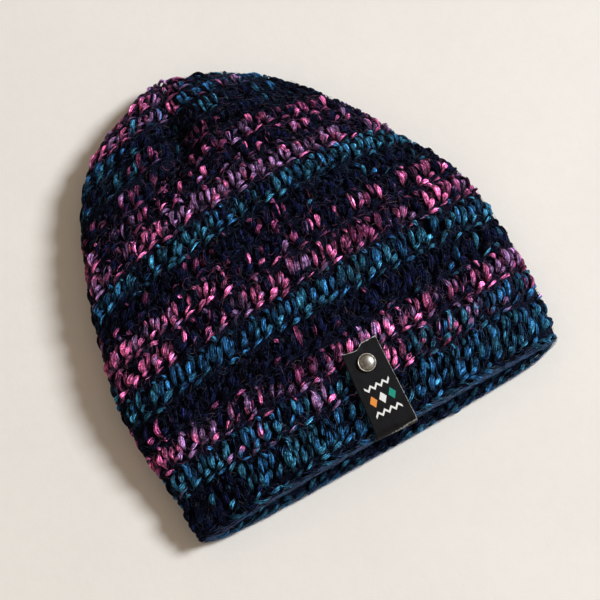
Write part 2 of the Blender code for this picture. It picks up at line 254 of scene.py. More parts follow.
def sink_dents(points):
    """The arch is lowered and drawn back by a bell curve for each dent."""
    for i in range(len(DENTS)):
        y = points[..., 1] - DENT["y"][i]
        x = points[..., 0] - DENT["x"][i] - DENT["lean"][i] * y
        reach = (x / DENT["half_width"][i]) ** 2 + (y / DENT["half_length"][i]) ** 2
        share = np.exp(-reach) * on_arch(points)
        points[..., 1] -= DENT["pull"][i] * share
        points[..., 2] -= DENT["depth"][i] * share
    return points


def crease_depth(points):
    """How deep the crease is at points: depth * exp(-(distance / half width)^2), from
    the nearest of its straight stretches."""
    sunk = np.zeros(points.shape[:-1])
    course = np.stack([CREASE_LINE["x"], CREASE_LINE["y"]], axis=1)
    for i in range(len(CREASE) - 1):
        stretch = course[i + 1] - course[i]
        offset = points[..., :2] - course[i]
        share = np.clip((offset @ stretch) / (stretch @ stretch), 0, 1)
        distance = np.linalg.norm(offset - share[..., None] * stretch, axis=-1)
        depth = CREASE_LINE["depth"][i] + (CREASE_LINE["depth"][i + 1] - CREASE_LINE["depth"][i]) * share
        sunk = np.maximum(sunk, depth * np.exp(-((distance / CREASE_HALF_WIDTH) ** 2)))
    return sunk


def sink_crease(points):
    """The arch is lowered by the crease's depth."""
    points[..., 2] -= crease_depth(points) * on_arch(points)
    return points


def hat_sections(rounds, inset=0.0):
    """Rings of the shell, one for each given round, evenly spaced points in each.

    Over the folds x = middle + half width * cos(a) and z = fold + (height - fold) *
    sin(a)^p. Below them the section turns under and lies flat. An inset makes it
    smaller on all sides.
    """
    rounds = np.asarray(rounds, float)
    size = {name: smooth(SECTION["round"], SECTION[name], rounds)[:, None] for name in SECTION_COLUMNS[1:]}
    left, right = size["x_left"] + inset, size["x_right"] - inset
    height = size["height"] - inset
    fold = np.maximum(size["fold"], inset + inset * FOLD_ROOM)
    closing = inset * np.clip((rounds - CLOSING_ROUND) / (ROUNDS - 1 - CLOSING_ROUND), 0, 1)[:, None]
    angle = np.linspace(0, 2 * math.pi, RING_POINTS + 1)[None]
    across, rise = np.cos(angle), np.abs(np.sin(angle))
    over = angle <= math.pi
    x = (right + left) / 2 + (right - left) / 2 * across
    turn = np.sin(math.pi / 2 * np.minimum(1, rise / FLOOR_REACH))
    z = np.where(over, fold + (height - fold) * rise**ARCH_POWER, inset + (fold - inset) * (1 - turn))
    side = (size["y_left"] + size["y_right"]) / 2
    lower = side - (LOWER_LAYER - LOWER_TRIM) * (1 - rounds[:, None] / ROUNDS)
    middle = np.where(over, size["y_middle"], lower)
    y = side + (size["y_right"] - size["y_left"]) / 2 * across + (middle - side) * rise**ROUND_POWER
    loops = np.stack([x, y - closing, z], axis=2)
    length = np.linalg.norm(np.diff(loops, axis=1), axis=2).cumsum(axis=1)
    length = np.concatenate([np.zeros((len(rounds), 1)), length], axis=1)
    marks = np.linspace(0, 1, RING_POINTS, endpoint=False)
    rings = np.stack([
        np.stack([np.interp(marks * along[-1], along, loop[:, i]) for i in range(3)], axis=1)
        for loop, along in zip(loops, length)
    ])
    return push_outline(sink_crease(sink_dents(rings)))


def unit(vectors):
    """Vectors scaled to length one."""
    return vectors / np.maximum(np.linalg.norm(vectors, axis=-1, keepdims=True), 1e-12)


class Shell:
    """One face of the crochet over rounds and round the hat, read between its points.

    A place is a round counted from the rim and a share of the girth, from the right
    fold over the arch to the left fold and back underneath. Where the shell faces the
    floor it is sunk into the hat, to leave room for the strands.
    """

    def __init__(self, inset=0.0, last=ROUNDS - RING_STEP, sink=0.0):
        self.rounds = np.arange(0, last + RING_STEP / 2, RING_STEP)
        self.points = hat_sections(self.rounds, inset) + np.array([MIDDLE_X, RIM_Y, 0])
        around = np.roll(self.points, -1, axis=1) - np.roll(self.points, 1, axis=1)
        self.normals = unit(np.cross(np.gradient(self.points, axis=0), around))
        steps = np.diff(self.points, axis=1, append=self.points[:, :1])
        self.girth = np.linalg.norm(steps, axis=2).sum(axis=1)
        down = smooth_step(-self.normals[..., 2:], DOWN_FROM, DOWN_FULL)
        self.points = self.points - self.normals * down * sink

    def at(self, rounds, around):
        """Points and normals at places: the mean of the four nearest, by nearness."""
        row = np.clip(rounds / RING_STEP, 0, len(self.rounds) - 1 - INSIDE)
        column = np.mod(around, 1) * RING_POINTS
        i, j = row.astype(int), column.astype(int) % RING_POINTS
        di, dj = (row - i)[..., None], (column - np.floor(column))[..., None]
        k = (j + 1) % RING_POINTS
        found = []
        for grid in (self.points, self.normals):
            low = grid[i, j] * (1 - dj) + grid[i, k] * dj
            high = grid[i + 1, j] * (1 - dj) + grid[i + 1, k] * dj
            found.append(low * (1 - di) + high * di)
        below = (rounds < 0)[..., None] * (rounds / RING_STEP)[..., None]
        found[0] = found[0] + below * (self.points[1][j] - self.points[0][j])
        return found[0], unit(found[1])

    def girth_at(self, rounds):
        """The length once round the hat at each round."""
        return np.interp(rounds, self.rounds, self.girth)


LEAST_STITCHES = 6


def stitch_counts(shell, pitch):
    """How many stitches each round holds, fewer towards the crown."""
    counts = np.round(shell.girth_at(np.arange(ROUNDS) + 0.5) / pitch)
    return np.maximum(LEAST_STITCHES, counts).astype(int)


def left_fold(shell):
    """The share of the girth at which the shell folds on its left."""
    return float(np.argmin(shell.points[0, :, 0])) / RING_POINTS


# The yarn's blends: the parts of each of its colours, in tenths
YARN_COLOURS = ("pink", "rose", "mauve", "blue", "teal", "navy")
BLENDS = {
    "pink": (3, 1, 4, 0, 0, 2),
    "dusk": (2, 1, 1, 0, 0, 6),
    "mixed": (2, 0, 2, 3, 2, 1),
    "teal": (0, 0, 0, 3, 5, 2),
    "deep": (0, 0, 0, 1, 2, 7),
    "night": (0, 1, 0, 0, 0, 9),
}

# The blend of each round's front, from the rim: at its right fold, midway and at its
# left fold
ROUND_BLENDS = (
    ("teal", "teal", "deep"),
    ("mixed", "mixed", "teal"),
    ("pink", "pink", "pink"),
    ("deep", "night", "night"),
    ("teal", "teal", "teal"),
    ("pink", "pink", "dusk"),
    ("dusk", "dusk", "pink"),
    ("deep", "night", "night"),
    ("teal", "teal", "teal"),
    ("pink", "pink", "pink"),
    ("dusk", "dusk", "pink"),
    ("dusk", "dusk", "night"),
    ("deep", "night", "teal"),
    ("deep", "deep", "teal"),
    ("teal", "mixed", "pink"),
    ("teal", "dusk", "pink"),
    ("mixed", "pink", "pink"),
)
STRETCHES = 22               # how many stretches of one colour a whole round's yarn has
STEADY = 0.45                # the share of strands that keep their stretch's colour


class Yarn:
    """The yarn's colour along its run, drawn at random by the parts of each colour."""

    def __init__(self, colours, fold, random):
        self.palette = np.array(colours)
        self.fold = fold
        self.random = random
        self.marks = (np.arange(ROUNDS)[:, None] + [0.5, 0.75, 1.0]).ravel()
        self.blends = np.array([BLENDS[name] for names in ROUND_BLENDS for name in names], float)
        self.stretches = random.random(ROUNDS * STRETCHES + 1)

    def run(self, rounds, around):
        """How many times round the hat the yarn has run at places, from its start at
        the left fold."""
        return np.floor(np.clip(rounds, 0, ROUNDS - INSIDE)) + 1 - np.mod(self.fold - around, 1)

    def parts(self, rounds, around):
        """Each colour's share of the yarn at places, the last axis as the palette.

        The yarn has run a whole number of rounds at the left fold and half a round
        more at the right one. Between named places one blend turns evenly into the next.
        """
        run = self.run(rounds, around)
        parts = np.stack([np.interp(run, self.marks, column) for column in self.blends.T], axis=-1)
        return parts / parts.sum(axis=-1, keepdims=True)

    def draw(self, rounds, around):
        """One colour for each place, picked by the parts there. Most strands pick as
        the others in their stretch of yarn do, and the rest by themselves."""
        limits = self.parts(rounds, around).cumsum(axis=-1)
        stretch = np.clip(self.run(rounds, around) * STRETCHES, 0, len(self.stretches) - 1).astype(int)
        steady = self.random.random(rounds.shape) < STEADY
        chance = np.where(steady, self.stretches[stretch], self.random.random(rounds.shape))
        pick = (chance[..., None] > limits).sum(axis=-1)
        return self.palette[np.minimum(pick, len(self.palette) - 1)]

    def mean(self, rounds, around):
        """The parts' mean colour at places."""
        return self.parts(rounds, around) @ self.palette


class Signal:
    """A socket that gives a value, so that shader maths reads as an expression."""

    def __init__(self, finish, socket):
        self.finish, self.socket = finish, socket

    def _math(self, operation, *operands):
        sockets = dict(enumerate(operands))
        return self.finish.node("ShaderNodeMath", {"operation": operation}, sockets, "Value")

    def __add__(self, other):
        return self._math("ADD", self, other)

    def __mul__(self, other):
        return self._math("MULTIPLY", self, other)

    __radd__, __rmul__ = __add__, __mul__

    def between(self, low, high):
        """0 at low, 1 at high, smooth in between."""
        settings = {"interpolation_type": "SMOOTHSTEP"}
        sockets = {"Value": self, "From Min": low, "From Max": high}
        return self.finish.node("ShaderNodeMapRange", settings, sockets, "Result")


class Finish:
    """A material and its nodes."""

    def __init__(self, name, **constants):
        self.material = bpy.data.materials.new(name)
        self.material.use_nodes = True
        self.tree = self.material.node_tree
        self.shader = self.tree.nodes["Principled BSDF"]
        for socket, value in constants.items():
            self.shader.inputs[socket.replace("_", " ")].default_value = value

    def node(self, kind, settings, sockets, output):
        """A node of a kind: its settings first, then values or links of its sockets."""
        node = self.tree.nodes.new(kind)
        for name, value in settings.items():
            setattr(node, name, value)
        for name, value in sockets.items():
            self.feed(node.inputs[name], value)
        return Signal(self, node.outputs[output])

    def feed(self, socket, value):
        """Link a signal to a socket, or set its value."""
        if isinstance(value, Signal):
            self.tree.links.new(value.socket, socket)
        else:
            socket.default_value = value

    def noise(self, vector, scale, detail=2.0, roughness=0.5):
        """Even noise about 0.5: its spots are as wide as one over the scale."""
        sockets = {"Vector": vector, "Scale": scale, "Detail": detail, "Roughness": roughness}
        return self.node("ShaderNodeTexNoise", {}, sockets, "Fac")

    def place(self):
        """The point's place in the object, in metres."""
        return self.node("ShaderNodeTexCoord", {}, {}, "Object")

    def strand(self, along, around):
        """The strand's own map, stretched by a factor along it and one around it."""
        uv = self.node("ShaderNodeUVMap", {"uv_map": "strand"}, {}, "UV")
        sockets = {0: uv, 1: (along, around, 1)}
        return self.node("ShaderNodeVectorMath", {"operation": "MULTIPLY"}, sockets, "Vector")

    def attribute(self, name, output="Color"):
        """A colour or value that the mesh has at each point."""
        return self.node("ShaderNodeAttribute", {"attribute_name": name}, {}, output)

    def blend(self, factor, first, second, how="MIX"):
        """A colour between two, or their product or other blend."""
        settings = {"data_type": "RGBA", "blend_type": how}
        return self.node("ShaderNodeMix", settings, {0: factor, 6: first, 7: second}, 2)

    def grey(self, value):
        """A value as a colour, so that it can scale another."""
        sockets = {"Red": value, "Green": value, "Blue": value}
        return self.node("ShaderNodeCombineColor", {"mode": "RGB"}, sockets, "Color")

    def bump(self, height, strength, distance):
        """Shade the surface as if it rose by a height from 0 to 1 times a distance."""
        sockets = {"Height": height, "Strength": strength, "Distance": distance}
        self.feed(self.shader.inputs["Normal"], self.node("ShaderNodeBump", {}, sockets, "Normal"))

    def give(self, **signals):
        """Feed the shader and return the finished material."""
        for name, value in signals.items():
            self.feed(self.shader.inputs[name.replace("_", " ")], value)
        return self.material


FIBRE_PALE = (0.052, 0.074, 0.155)   # the wool's pale fibre ends


def yarn_finish(name):
    """Soft spun yarn: two colours blotched together, streaked by the fibres that wind
    along the strand, felted in patches and flecked with pale fibre ends."""
    finish = Finish(name, Roughness=0.92, Specular_IOR_Level=0.05, Sheen_Weight=0.01, Sheen_Roughness=0.5)
    blotch = finish.noise(finish.strand(0.22, 3.0), 1.0, 2.0, 0.55)
    colour = finish.blend(blotch.between(0.47, 0.56), finish.attribute("yarn"), finish.attribute("marl"))
    streaks = finish.noise(finish.strand(0.24, 9.0), 1.0, 3.0, 0.7)
    fibres = finish.noise(finish.strand(0.60, 24.0), 1.0, 2.0, 0.6)
    felt = finish.noise(finish.place(), 430.0, 3.0, 0.6)
    grain = finish.noise(finish.place(), 1500.0, 2.0, 0.6)
    light = 0.58 + streaks.between(0.34, 0.66) * 1.60 + fibres.between(0.38, 0.62) * 0.80
    light = light * (0.38 + felt.between(0.38, 0.56) * 0.86) * (0.42 + grain.between(0.34, 0.66) * 1.16)
    finish.bump(streaks * 0.7 + fibres * 0.20 + grain * 0.45, 0.75, 0.7 * MM)
    lit = finish.blend(1.0, colour, finish.grey(light), "MULTIPLY")
    return finish.give(Base_Color=finish.blend(grain.between(0.61, 0.66) * 0.60, lit, (*FIBRE_PALE, 1)))


def core_finish():
    """The felted yarn deep between the strands, its colour painted dark as the shade there."""
    finish = Finish("yarn_core", Roughness=0.95, Specular_IOR_Level=0.1)
    colour = finish.attribute("yarn")
    fibres = finish.noise(finish.place(), 900.0, 4.0, 0.7)
    finish.bump(fibres, 0.8, 0.6 * MM)
    lit = finish.blend(1.0, colour, finish.grey(0.4 + fibres), "MULTIPLY")
    grain = finish.noise(finish.place(), 1300.0, 2.0, 0.6)
    return finish.give(Base_Color=finish.blend(grain.between(0.59, 0.65) * 0.35, lit, (*FIBRE_PALE, 1)))


def fibre_finish(name):
    """Fine stray fibres that catch the light."""
    finish = Finish(name, Roughness=0.8, Specular_IOR_Level=0.2)
    return finish.give(Base_Color=finish.attribute("yarn"))


def link(obj, slot, *nodes):
    """Put an object in the scene, let it ride on the hat and stand for solids."""
    bpy.context.scene.collection.objects.link(obj)
    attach(obj, "root")
    if nodes:
        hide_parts(*nodes)
    return obj


def array_mesh(name, points, faces, colours=None, uvs=None, material=None):
    """A smooth mesh from arrays: points, a list of face arrays of one size each, named
    colours for each point and one map place for each corner."""
    mesh = bpy.data.meshes.new(name)
    corners = np.concatenate([block.ravel() for block in faces])
    sizes = np.concatenate([np.full(len(block), block.shape[1]) for block in faces])
    mesh.vertices.add(len(points))
    mesh.vertices.foreach_set("co", np.asarray(points, np.float32).ravel())
    mesh.loops.add(len(corners))
    mesh.loops.foreach_set("vertex_index", corners.astype(np.int32))
    mesh.polygons.add(len(sizes))
    mesh.polygons.foreach_set("loop_start", (np.cumsum(sizes) - sizes).astype(np.int32))
    mesh.update(calc_edges=True)
    for kind, rgb in (colours or {}).items():
        layer = mesh.attributes.new(kind, "FLOAT_COLOR", "POINT")
        rgba = np.concatenate([rgb, np.ones((len(rgb), 1))], axis=1)
        layer.data.foreach_set("color", rgba.astype(np.float32).ravel())
    if uvs is not None:
        layer = mesh.uv_layers.new(name="strand")
        layer.data.foreach_set("uv", np.concatenate(uvs).astype(np.float32).ravel())
    mesh.shade_smooth()
    if material:
        mesh.materials.append(material)
    return bpy.data.objects.new(name, mesh)


def tube_faces(rows, sides, inward=False):
    """Quads between closed rings that follow one another, and fans from the first and
    last ring to two poles, whose points come after the rings'. Inward turns them over."""
    i, j = np.meshgrid(np.arange(rows - 1), np.arange(sides), indexing="ij")
    k = (j + 1) % sides
    quads = np.stack([i, i, i + 1, i + 1], axis=-1) * sides + np.stack([j, k, k, j], axis=-1)
    j = np.arange(sides)
    k = (j + 1) % sides
    last, pole = (rows - 1) * sides, np.full(sides, rows * sides)
    ends = ([k, j, pole], [last + j, last + k, pole + 1])
    quads, fans = quads.reshape(-1, 4), np.concatenate([np.stack(fan, axis=-1) for fan in ends])
    return (quads[:, [0, 3, 2, 1]], fans[:, [1, 0, 2]]) if inward else (quads, fans)


def strip_faces(size):
    """Quads between the first and the second half of a closed row of points."""
    i = np.arange(size // 2 - 1)
    return np.stack([i, i + 1, size - 2 - i, size - 1 - i], axis=-1)


def closed_tube(name, rings, poles, colours, pole_colours, material, inward=False):
    """A skin over rings, closed at both ends by a fan to a pole."""
    points = np.concatenate([rings.reshape(-1, 3), poles])
    rgb = np.concatenate([colours.reshape(-1, 3), pole_colours])
    return array_mesh(name, points, tube_faces(*rings.shape[:2], inward), {"yarn": rgb}, None, material)


FLOOR_CLEARANCE = 0.1 * MM
TWIST = 0.06                 # how far the yarn's fibres turn round it, in turns for each millimetre
SIDE_SHADE = 0.30            # painted shade: how much of a strand's colour is left low down on its sides and at its ends
ROUND_END = 0.6              # how far a strand's ends stand out, as a share of its half height
MAP_STEP = 37.7              # how far apart two strands lie on the map, in millimetres


def tube_arrays(centres, normals, half_width, half_height, colours, marl, sides, pinched=False):
    """Many closed strands: points, two kinds of faces, their map places and two
    colours for each point.

    The arrays have a row for each strand and a column for each place along it. A ring
    is centre + half width * cos(a) * side + half height * sin(a) * up, where up is the
    surface's normal made square to the strand and a starts at the bottom. Shade is
    painted into the colours, which fade from the strand's top to its bottom as (1 +
    sin(a)) / 2, and the ends get the sides' painted shade. A pinched strand comes to
    a point at both ends.
    """
    tangent = unit(np.gradient(centres, axis=1))
    side = unit(np.cross(normals, tangent))
    up = np.cross(tangent, side)
    tip = np.zeros(2) if pinched else np.array([-ROUND_END, ROUND_END])
    poles = centres[:, [0, -1]] + tangent[:, [0, -1]] * half_height[:, [0, -1], None] * tip[:, None]
    inner = slice(1, -1) if pinched else slice(None)
    angle = np.arange(sides) * 2 * math.pi / sides - math.pi / 2
    ring = (
        centres[:, inner, None]
        + side[:, inner, None] * (half_width[:, inner, None, None] * np.cos(angle)[:, None])
        + up[:, inner, None] * (half_height[:, inner, None, None] * np.sin(angle)[:, None])
    )
    count, steps = ring.shape[:2]
    points = np.concatenate([ring.reshape(count, -1, 3), poles], axis=1)
    shade = SIDE_SHADE + (1 - SIDE_SHADE) * (1 + np.sin(angle)[:, None]) / 2
    shaded = {}
    for kind, rgb in (("yarn", colours), ("marl", marl)):
        around = (rgb[:, inner, None] * shade).reshape(count, -1, 3)
        shaded[kind] = np.concatenate([around, rgb[:, [0, -1]] * SIDE_SHADE], axis=1).reshape(-1, 3)
    quads, fans = tube_faces(steps, sides)

    length = np.linalg.norm(np.diff(centres[:, inner], axis=1), axis=2).cumsum(axis=1) / MM
    length = np.concatenate([np.zeros((count, 1)), length], axis=1) + np.arange(count)[:, None] * MAP_STEP
    turn = np.arange(sides)
    quad_u = length[:, quads // sides]
    quad_turn = np.stack([turn, turn + 1, turn + 1, turn], axis=-1)
    quad_v = np.tile(quad_turn, (steps - 1, 1)) / sides + quad_u * TWIST
    fan_u = np.repeat(length[:, np.repeat([0, steps - 1], sides)][..., None], 3, axis=2)
    first_turn, last_turn = (
        np.stack([*ends, turn + 0.5], axis=-1) for ends in ((turn + 1, turn), (turn, turn + 1))
    )
    fan_v = np.concatenate([first_turn, last_turn]) / sides + fan_u * TWIST
    shift = (np.arange(count) * (steps * sides + 2))[:, None, None]
    points = points.reshape(-1, 3)
    points[:, 2] = np.maximum(points[:, 2], FLOOR_CLEARANCE)
    return {
        "points": points,
        "quads": (quads[None] + shift).reshape(-1, 4),
        "fans": (fans[None] + shift).reshape(-1, 3),
        "quad_uv": np.stack([quad_u, quad_v], axis=-1).reshape(-1, 2),
        "fan_uv": np.stack([fan_u, fan_v], axis=-1).reshape(-1, 2),
        **shaded,
    }


def joined(name, lots, material):
    """One mesh of several lots of strands."""
    start = np.cumsum([0] + [len(lot["points"]) for lot in lots])
    together = {kind: np.concatenate([lot[kind] for lot in lots]) for kind in lots[0]}
    faces = [
        np.concatenate([lot[kind] + first for lot, first in zip(lots, start)]) for kind in ("quads", "fans")
    ]
    colours = {kind: together[kind] for kind in ("yarn", "marl")}
    uvs = [together["quad_uv"], together["fan_uv"]]
    return array_mesh(name, together["points"], faces, colours, uvs, material)


# How the yarn is laid
RELIEF = 2.3 * MM            # how far the strands stand out where the hat lies on the floor
TURN_FULL = 0.20             # the normal's rise where the shell turns over at a fold
TURN_NONE = 0.80             # and where it no longer does
FOLD_RELIEF = 0.33           # how much of the strands' rise and fall is left at the side folds
FOLD_FLAT = 0.16             # and how much flatter they are there
STRAND_STEPS = 6             # places along a strand
STRAND_SIDES = 5             # and round it
FLOOR_SIDES = 4              # where the hat lies on the floor
FACES_FLOOR = -0.55          # strands whose normal lies below this face the floor
STITCH_DRIFT = 0.35          # each round starts this share of a stitch further on
PRESSED = 1.0 * MM           # how far the tag presses the yarn down
TAG_REACH = 3.0 * MM         # and how far past the tag's sides that goes
UPPER = 1.2                  # the upper layer is higher than the rim's fold, by this factor

# How strands differ from their stitch's drawing, as standard deviations: the first five
# in its own units, the crest's height in metres, and the thickness of whole strands and
# along them as shares
LOOSE = {
    "across": 0.08, "reach": 0.07, "bow": 0.04, "up": 0.05, "climb": 0.08,
    "crest": 0.40 * MM, "thickness": 0.22, "lumps": 0.09,
}
THICKNESS_LIMITS = (0.5, 1.6)
THIN_END = 0.46              # how thick a strand's ends are, as a share of its middle
SWELL_POWER = 0.7            # how soon it swells from there


def under_tag(points):
    """1 for points of the upper layer that the tag lies on, fading to 0 beside it."""
    y = points[..., 1] - RIM_Y
    middle = MIDDLE_X + TAG_FOLD_X + TAG_LEAN * (y - TAG_FOLD_Y)
    beside = np.abs(points[..., 0] - middle) - TAG_FOLD_WIDTH / 2
    share = np.clip(1 - beside / TAG_REACH, 0, 1) * np.clip(1 - (y - TAG_END_Y) / TAG_REACH, 0, 1)
    return share * (points[..., 2] > SECTION["fold"][0] * UPPER)


def turned_at(normal):
    """0 on the hat's upper and lower side, 1 where it turns over at a fold, by a smooth
    step of the normal's rise between."""
    return 1 - smooth_step(np.abs(normal[..., 2]), TURN_FULL, TURN_NONE)


def lay_strands(shell, rounds, around, width, shape, random, side=1):
    """Strands of one kind, one at each place given by a round and a share of the
    girth: places along each, normals and half sizes.

    Along a strand t runs from 0 to 1. It moves straight from one place to the other
    with a bow of 4 t (1 - t) to the side, rises by sin(pi t), and is thickest midway,
    as thin end + (1 - thin end) * sin(pi t)^power.
    """
    t = np.linspace(0, 1, STRAND_STEPS)[None]
    hump = 4 * t * (1 - t)
    rise = np.sin(math.pi * t)

    def loose(part, steps=1):
        return random.normal(0, LOOSE[part], (len(around), steps))

    across = (
        shape["across_from"] + loose("across")
        + (shape["across_to"] - shape["across_from"] + loose("reach")) * t
        + (shape["bow"] + loose("bow")) * hump
    )
    up = shape["up_from"] + loose("up") + (shape["up_to"] - shape["up_from"] + loose("climb")) * t
    row = rounds[:, None] + up
    point, normal = shell.at(row, around[:, None] - across * width[:, None])
    turned = turned_at(normal)
    relief = 1 - (1 - FOLD_RELIEF) * turned
    crest = shape["crest"] + loose("crest")
    lift = (shape["end"] + (crest - shape["end"]) * rise) * relief - PRESSED * under_tag(point)
    thickness = (1 + loose("thickness")) * (1 + loose("lumps", STRAND_STEPS))
    swell = (THIN_END + (1 - THIN_END) * rise**SWELL_POWER) * np.clip(thickness, *THICKNESS_LIMITS)
    flat = 1 - FOLD_FLAT * turned
    return (
        point + normal * (side * lift)[..., None], normal * side,
        shape["half_width"] * swell, shape["half_height"] * swell * flat,
    )


END_SHADE = 0.22             # painted shade: how much of a strand's colour is left at its ends
DEEP_SHADE_SHARE = 0.28             # the share of strands painted dim, as the shade of strands deep in the yarn
DEEP_SHADE_LEVEL = 0.30             # and how much of their colour is left
PLAIN_SHARE = 0.62           # the share of strands that keep one colour
CHANGE_AT = (0.25, 0.75)     # where along the others the colour changes, least and most
CHANGE_LENGTH = 0.3          # and over what share of them
LEVEL_SPREAD = 0.30          # how much the strands' light varies
FADE_WARP = (0.65, 1.5)      # least and most of the fade's warp
FADE_POWER = (0.4, 2.0)      # and of its power


def strand_colours(yarn, rounds, around, strength, random):
    """A colour at each place along strands: from one draw to another by a straight
    step, scaled by a strength that varies, darker for a share of strands and fading
    towards the ends as sin(pi t^warp)^power, both of them painted shade."""
    one_each = (len(around), 1, 1)
    first, second = yarn.draw(rounds, around), yarn.draw(rounds, around)
    plain = random.random(len(around)) < PLAIN_SHARE
    second = np.where(plain[:, None], first, second)
    t = np.linspace(0, 1, STRAND_STEPS)[None, :, None]
    middle = random.uniform(*CHANGE_AT, one_each)
    step = np.clip((t - middle) / CHANGE_LENGTH + 0.5, 0, 1)
    level = strength * np.exp(random.normal(0, LEVEL_SPREAD, one_each))
    level = level * np.where(random.random(one_each) < DEEP_SHADE_SHARE, DEEP_SHADE_LEVEL, 1.0)
    warp = random.uniform(*FADE_WARP, one_each)
    power = random.uniform(*FADE_POWER, one_each)
    fade = END_SHADE + (1 - END_SHADE) * np.maximum(np.sin(math.pi * t**warp), 0) ** power
    return (first[:, None] * (1 - step) + second[:, None] * step) * level * fade


MARL_SHARE = 0.45            # the share of strands that are spun of two colours
BODY_SIZE = 0.76             # a strand's body under its slivers, as a share of its size
BODY_SHADE = 0.55            # and of its colour, painted darker as the shade under its slivers

# The two kinds of wool on a strand: the least and most of a piece's length as a share
# of its strand's, of how far its end stands off as a share of the strand's thickness,
# and of its radius in millimetres, how much its light varies, the share of pieces in
# the strand's second colour, and its places along it
WOOL_COLUMNS = (
    "short", "long", "stand_least", "stand_most", "thin", "thick", "spread", "marl", "steps",
)
WOOL = {
    "slivers": dict(zip(WOOL_COLUMNS, (0.40, 0.95, -0.10, 0.26, 0.18, 0.44, 0.48, 0.28, 6))),
    "fuzz": dict(zip(WOOL_COLUMNS, (0.25, 0.80, 0.10, 0.90, 0.035, 0.075, 0.60, 0.60, 4))),
}
FUZZ_MIX = 0.5               # how pale the fuzz of another colour is
WOOL_SIDES = 3
PAST_END = 0.05              # how far past its strand's ends a piece may reach, as a share
SLOT_EDGE = 0.1              # the pieces' places round the strand keep this far from their slot's edges
LOW_SIDE = 0.06              # and from the strand's two sides, in half turns
WOOL_TURN = 0.5              # how far a piece turns round its strand, in radians
WOOL_TURN_SPREAD = 0.35      # and how much that varies
WOOL_THIN_END = 0.55         # how thick its ends are, as a share of its middle
MARL_LIGHT = 0.8             # a plain strand's second colour, as a share of its first


def wool(strands, kind, number, random):
    """Pieces of wool on strands, pinched at both ends, a number on each: places,
    normals, half sizes and colours.

    A piece runs along its strand from t to t + length. Its place is centre + (1 +
    stand * s^2) * (half width * cos(a) * side + half height * sin(a) * up), with s
    from 0 to 1 along the piece and a turning a little.
    """
    make = WOOL[kind]
    centres, normals, half_width, half_height, colours, marl = (
        np.repeat(part, number, axis=0) for part in strands
    )
    count = len(centres)

    def vary(low, high):
        return random.uniform(low, high, (count, 1))

    s = np.linspace(0, 1, make["steps"])[None]
    length = vary(make["short"], make["long"])
    start = random.random((count, 1)) * (1 + 2 * PAST_END - length) - PAST_END
    t = start + length * s
    slot = (np.arange(count)[:, None] % number + vary(SLOT_EDGE, 1 - SLOT_EDGE)) / number
    turn = random.normal(WOOL_TURN, WOOL_TURN_SPREAD, (count, 1)) * (s - 0.5)
    angle = (LOW_SIDE + (1 - 2 * LOW_SIDE) * slot) * math.pi + turn
    stand = 1 + vary(make["stand_least"], make["stand_most"]) * s**2
    side = unit(np.cross(normals, unit(np.gradient(centres, axis=1))))
    along = np.clip(t, 0, 1) * (STRAND_STEPS - 1)
    i = np.minimum(along.astype(int), STRAND_STEPS - 2)
    part = (along - i)[..., None]
    row = np.arange(count)[:, None]

    def read(values):
        return values[row, i] * (1 - part) + values[row, i + 1] * part

    up = read(normals)
    off = (
        read(side) * read(half_width[..., None]) * np.cos(angle)[..., None]
        + up * read(half_height[..., None]) * np.sin(angle)[..., None]
    )
    radius = vary(make["thin"], make["thick"]) * MM
    radius = radius * (WOOL_THIN_END + (1 - WOOL_THIN_END) * np.sin(math.pi * s))
    own = (random.random(count) < make["marl"])[:, None, None]
    level = np.exp(random.normal(0, make["spread"], (count, 1, 1)))
    colour = np.where(own, read(marl), read(colours)) * level
    return read(centres) + off * stand[..., None], up, radius, radius, colour, colour


def dress(laid, shape, yarn, places, random):
    """Tubes for laid strands in the yarn's colours: their bodies with slivers of wool
    on them, and their fuzz. The colours carry painted shade in the crown's crease, and
    the bodies more painted shade under their slivers. A strand that faces the floor is
    bare and has fewer sides."""
    colours = strand_colours(yarn, *places, shape["strength"], random)
    other = strand_colours(yarn, *places, shape["strength"], random)
    # Painted shade: the yarn's colour is darkened by the crease's depth here
    painted_crease_shade = crease_depth(laid[0] - np.array([MIDDLE_X, RIM_Y, 0])) / CREASE_LINE["depth"].max()
    light = 1 - CREASE_SHADE * painted_crease_shade[..., None]
    colours, other = colours * light, other * light
    marled = random.random(len(colours)) < MARL_SHARE
    marl = np.where(marled[:, None, None], other, colours * MARL_LIGHT)
    parts = (*laid, colours, marl)
    down = laid[1][:, STRAND_STEPS // 2, 2] < FACES_FLOOR
    low, high = [part[down] for part in parts], [part[~down] for part in parts]
    centres, normals, half_width, half_height, colours, marl = high
    body = (
        centres, normals, half_width * BODY_SIZE, half_height * BODY_SIZE,
        colours * BODY_SHADE, marl * BODY_SHADE,
    )
    slivers = wool(high, "slivers", int(shape["slivers"]), random)
    lots = [tube_arrays(*body, STRAND_SIDES), tube_arrays(*slivers, WOOL_SIDES, pinched=True)]
    if down.any():
        lots.append(tube_arrays(*low, FLOOR_SIDES))
    stray = yarn.draw(*(place[~down] for place in places)) * (1 - FUZZ_MIX) + np.array(FIBRE_PALE) * FUZZ_MIX
    stray = np.repeat(stray[:, None], STRAND_STEPS, axis=1)
    fuzz = wool((*high[:-1], stray), "fuzz", int(shape["fuzz"]), random)
    return lots, tube_arrays(*fuzz, WOOL_SIDES, pinched=True)


def palette(settings):
    """The yarn's colours in the order of its table."""
    return [tuple(getattr(settings, name)) for name in YARN_COLOURS]


def tint(name, description, colour):
    """The setting of one colour."""
    return bpy.props.FloatVectorProperty(
        name=name, description=description, default=colour, subtype="COLOR", min=0, max=1)


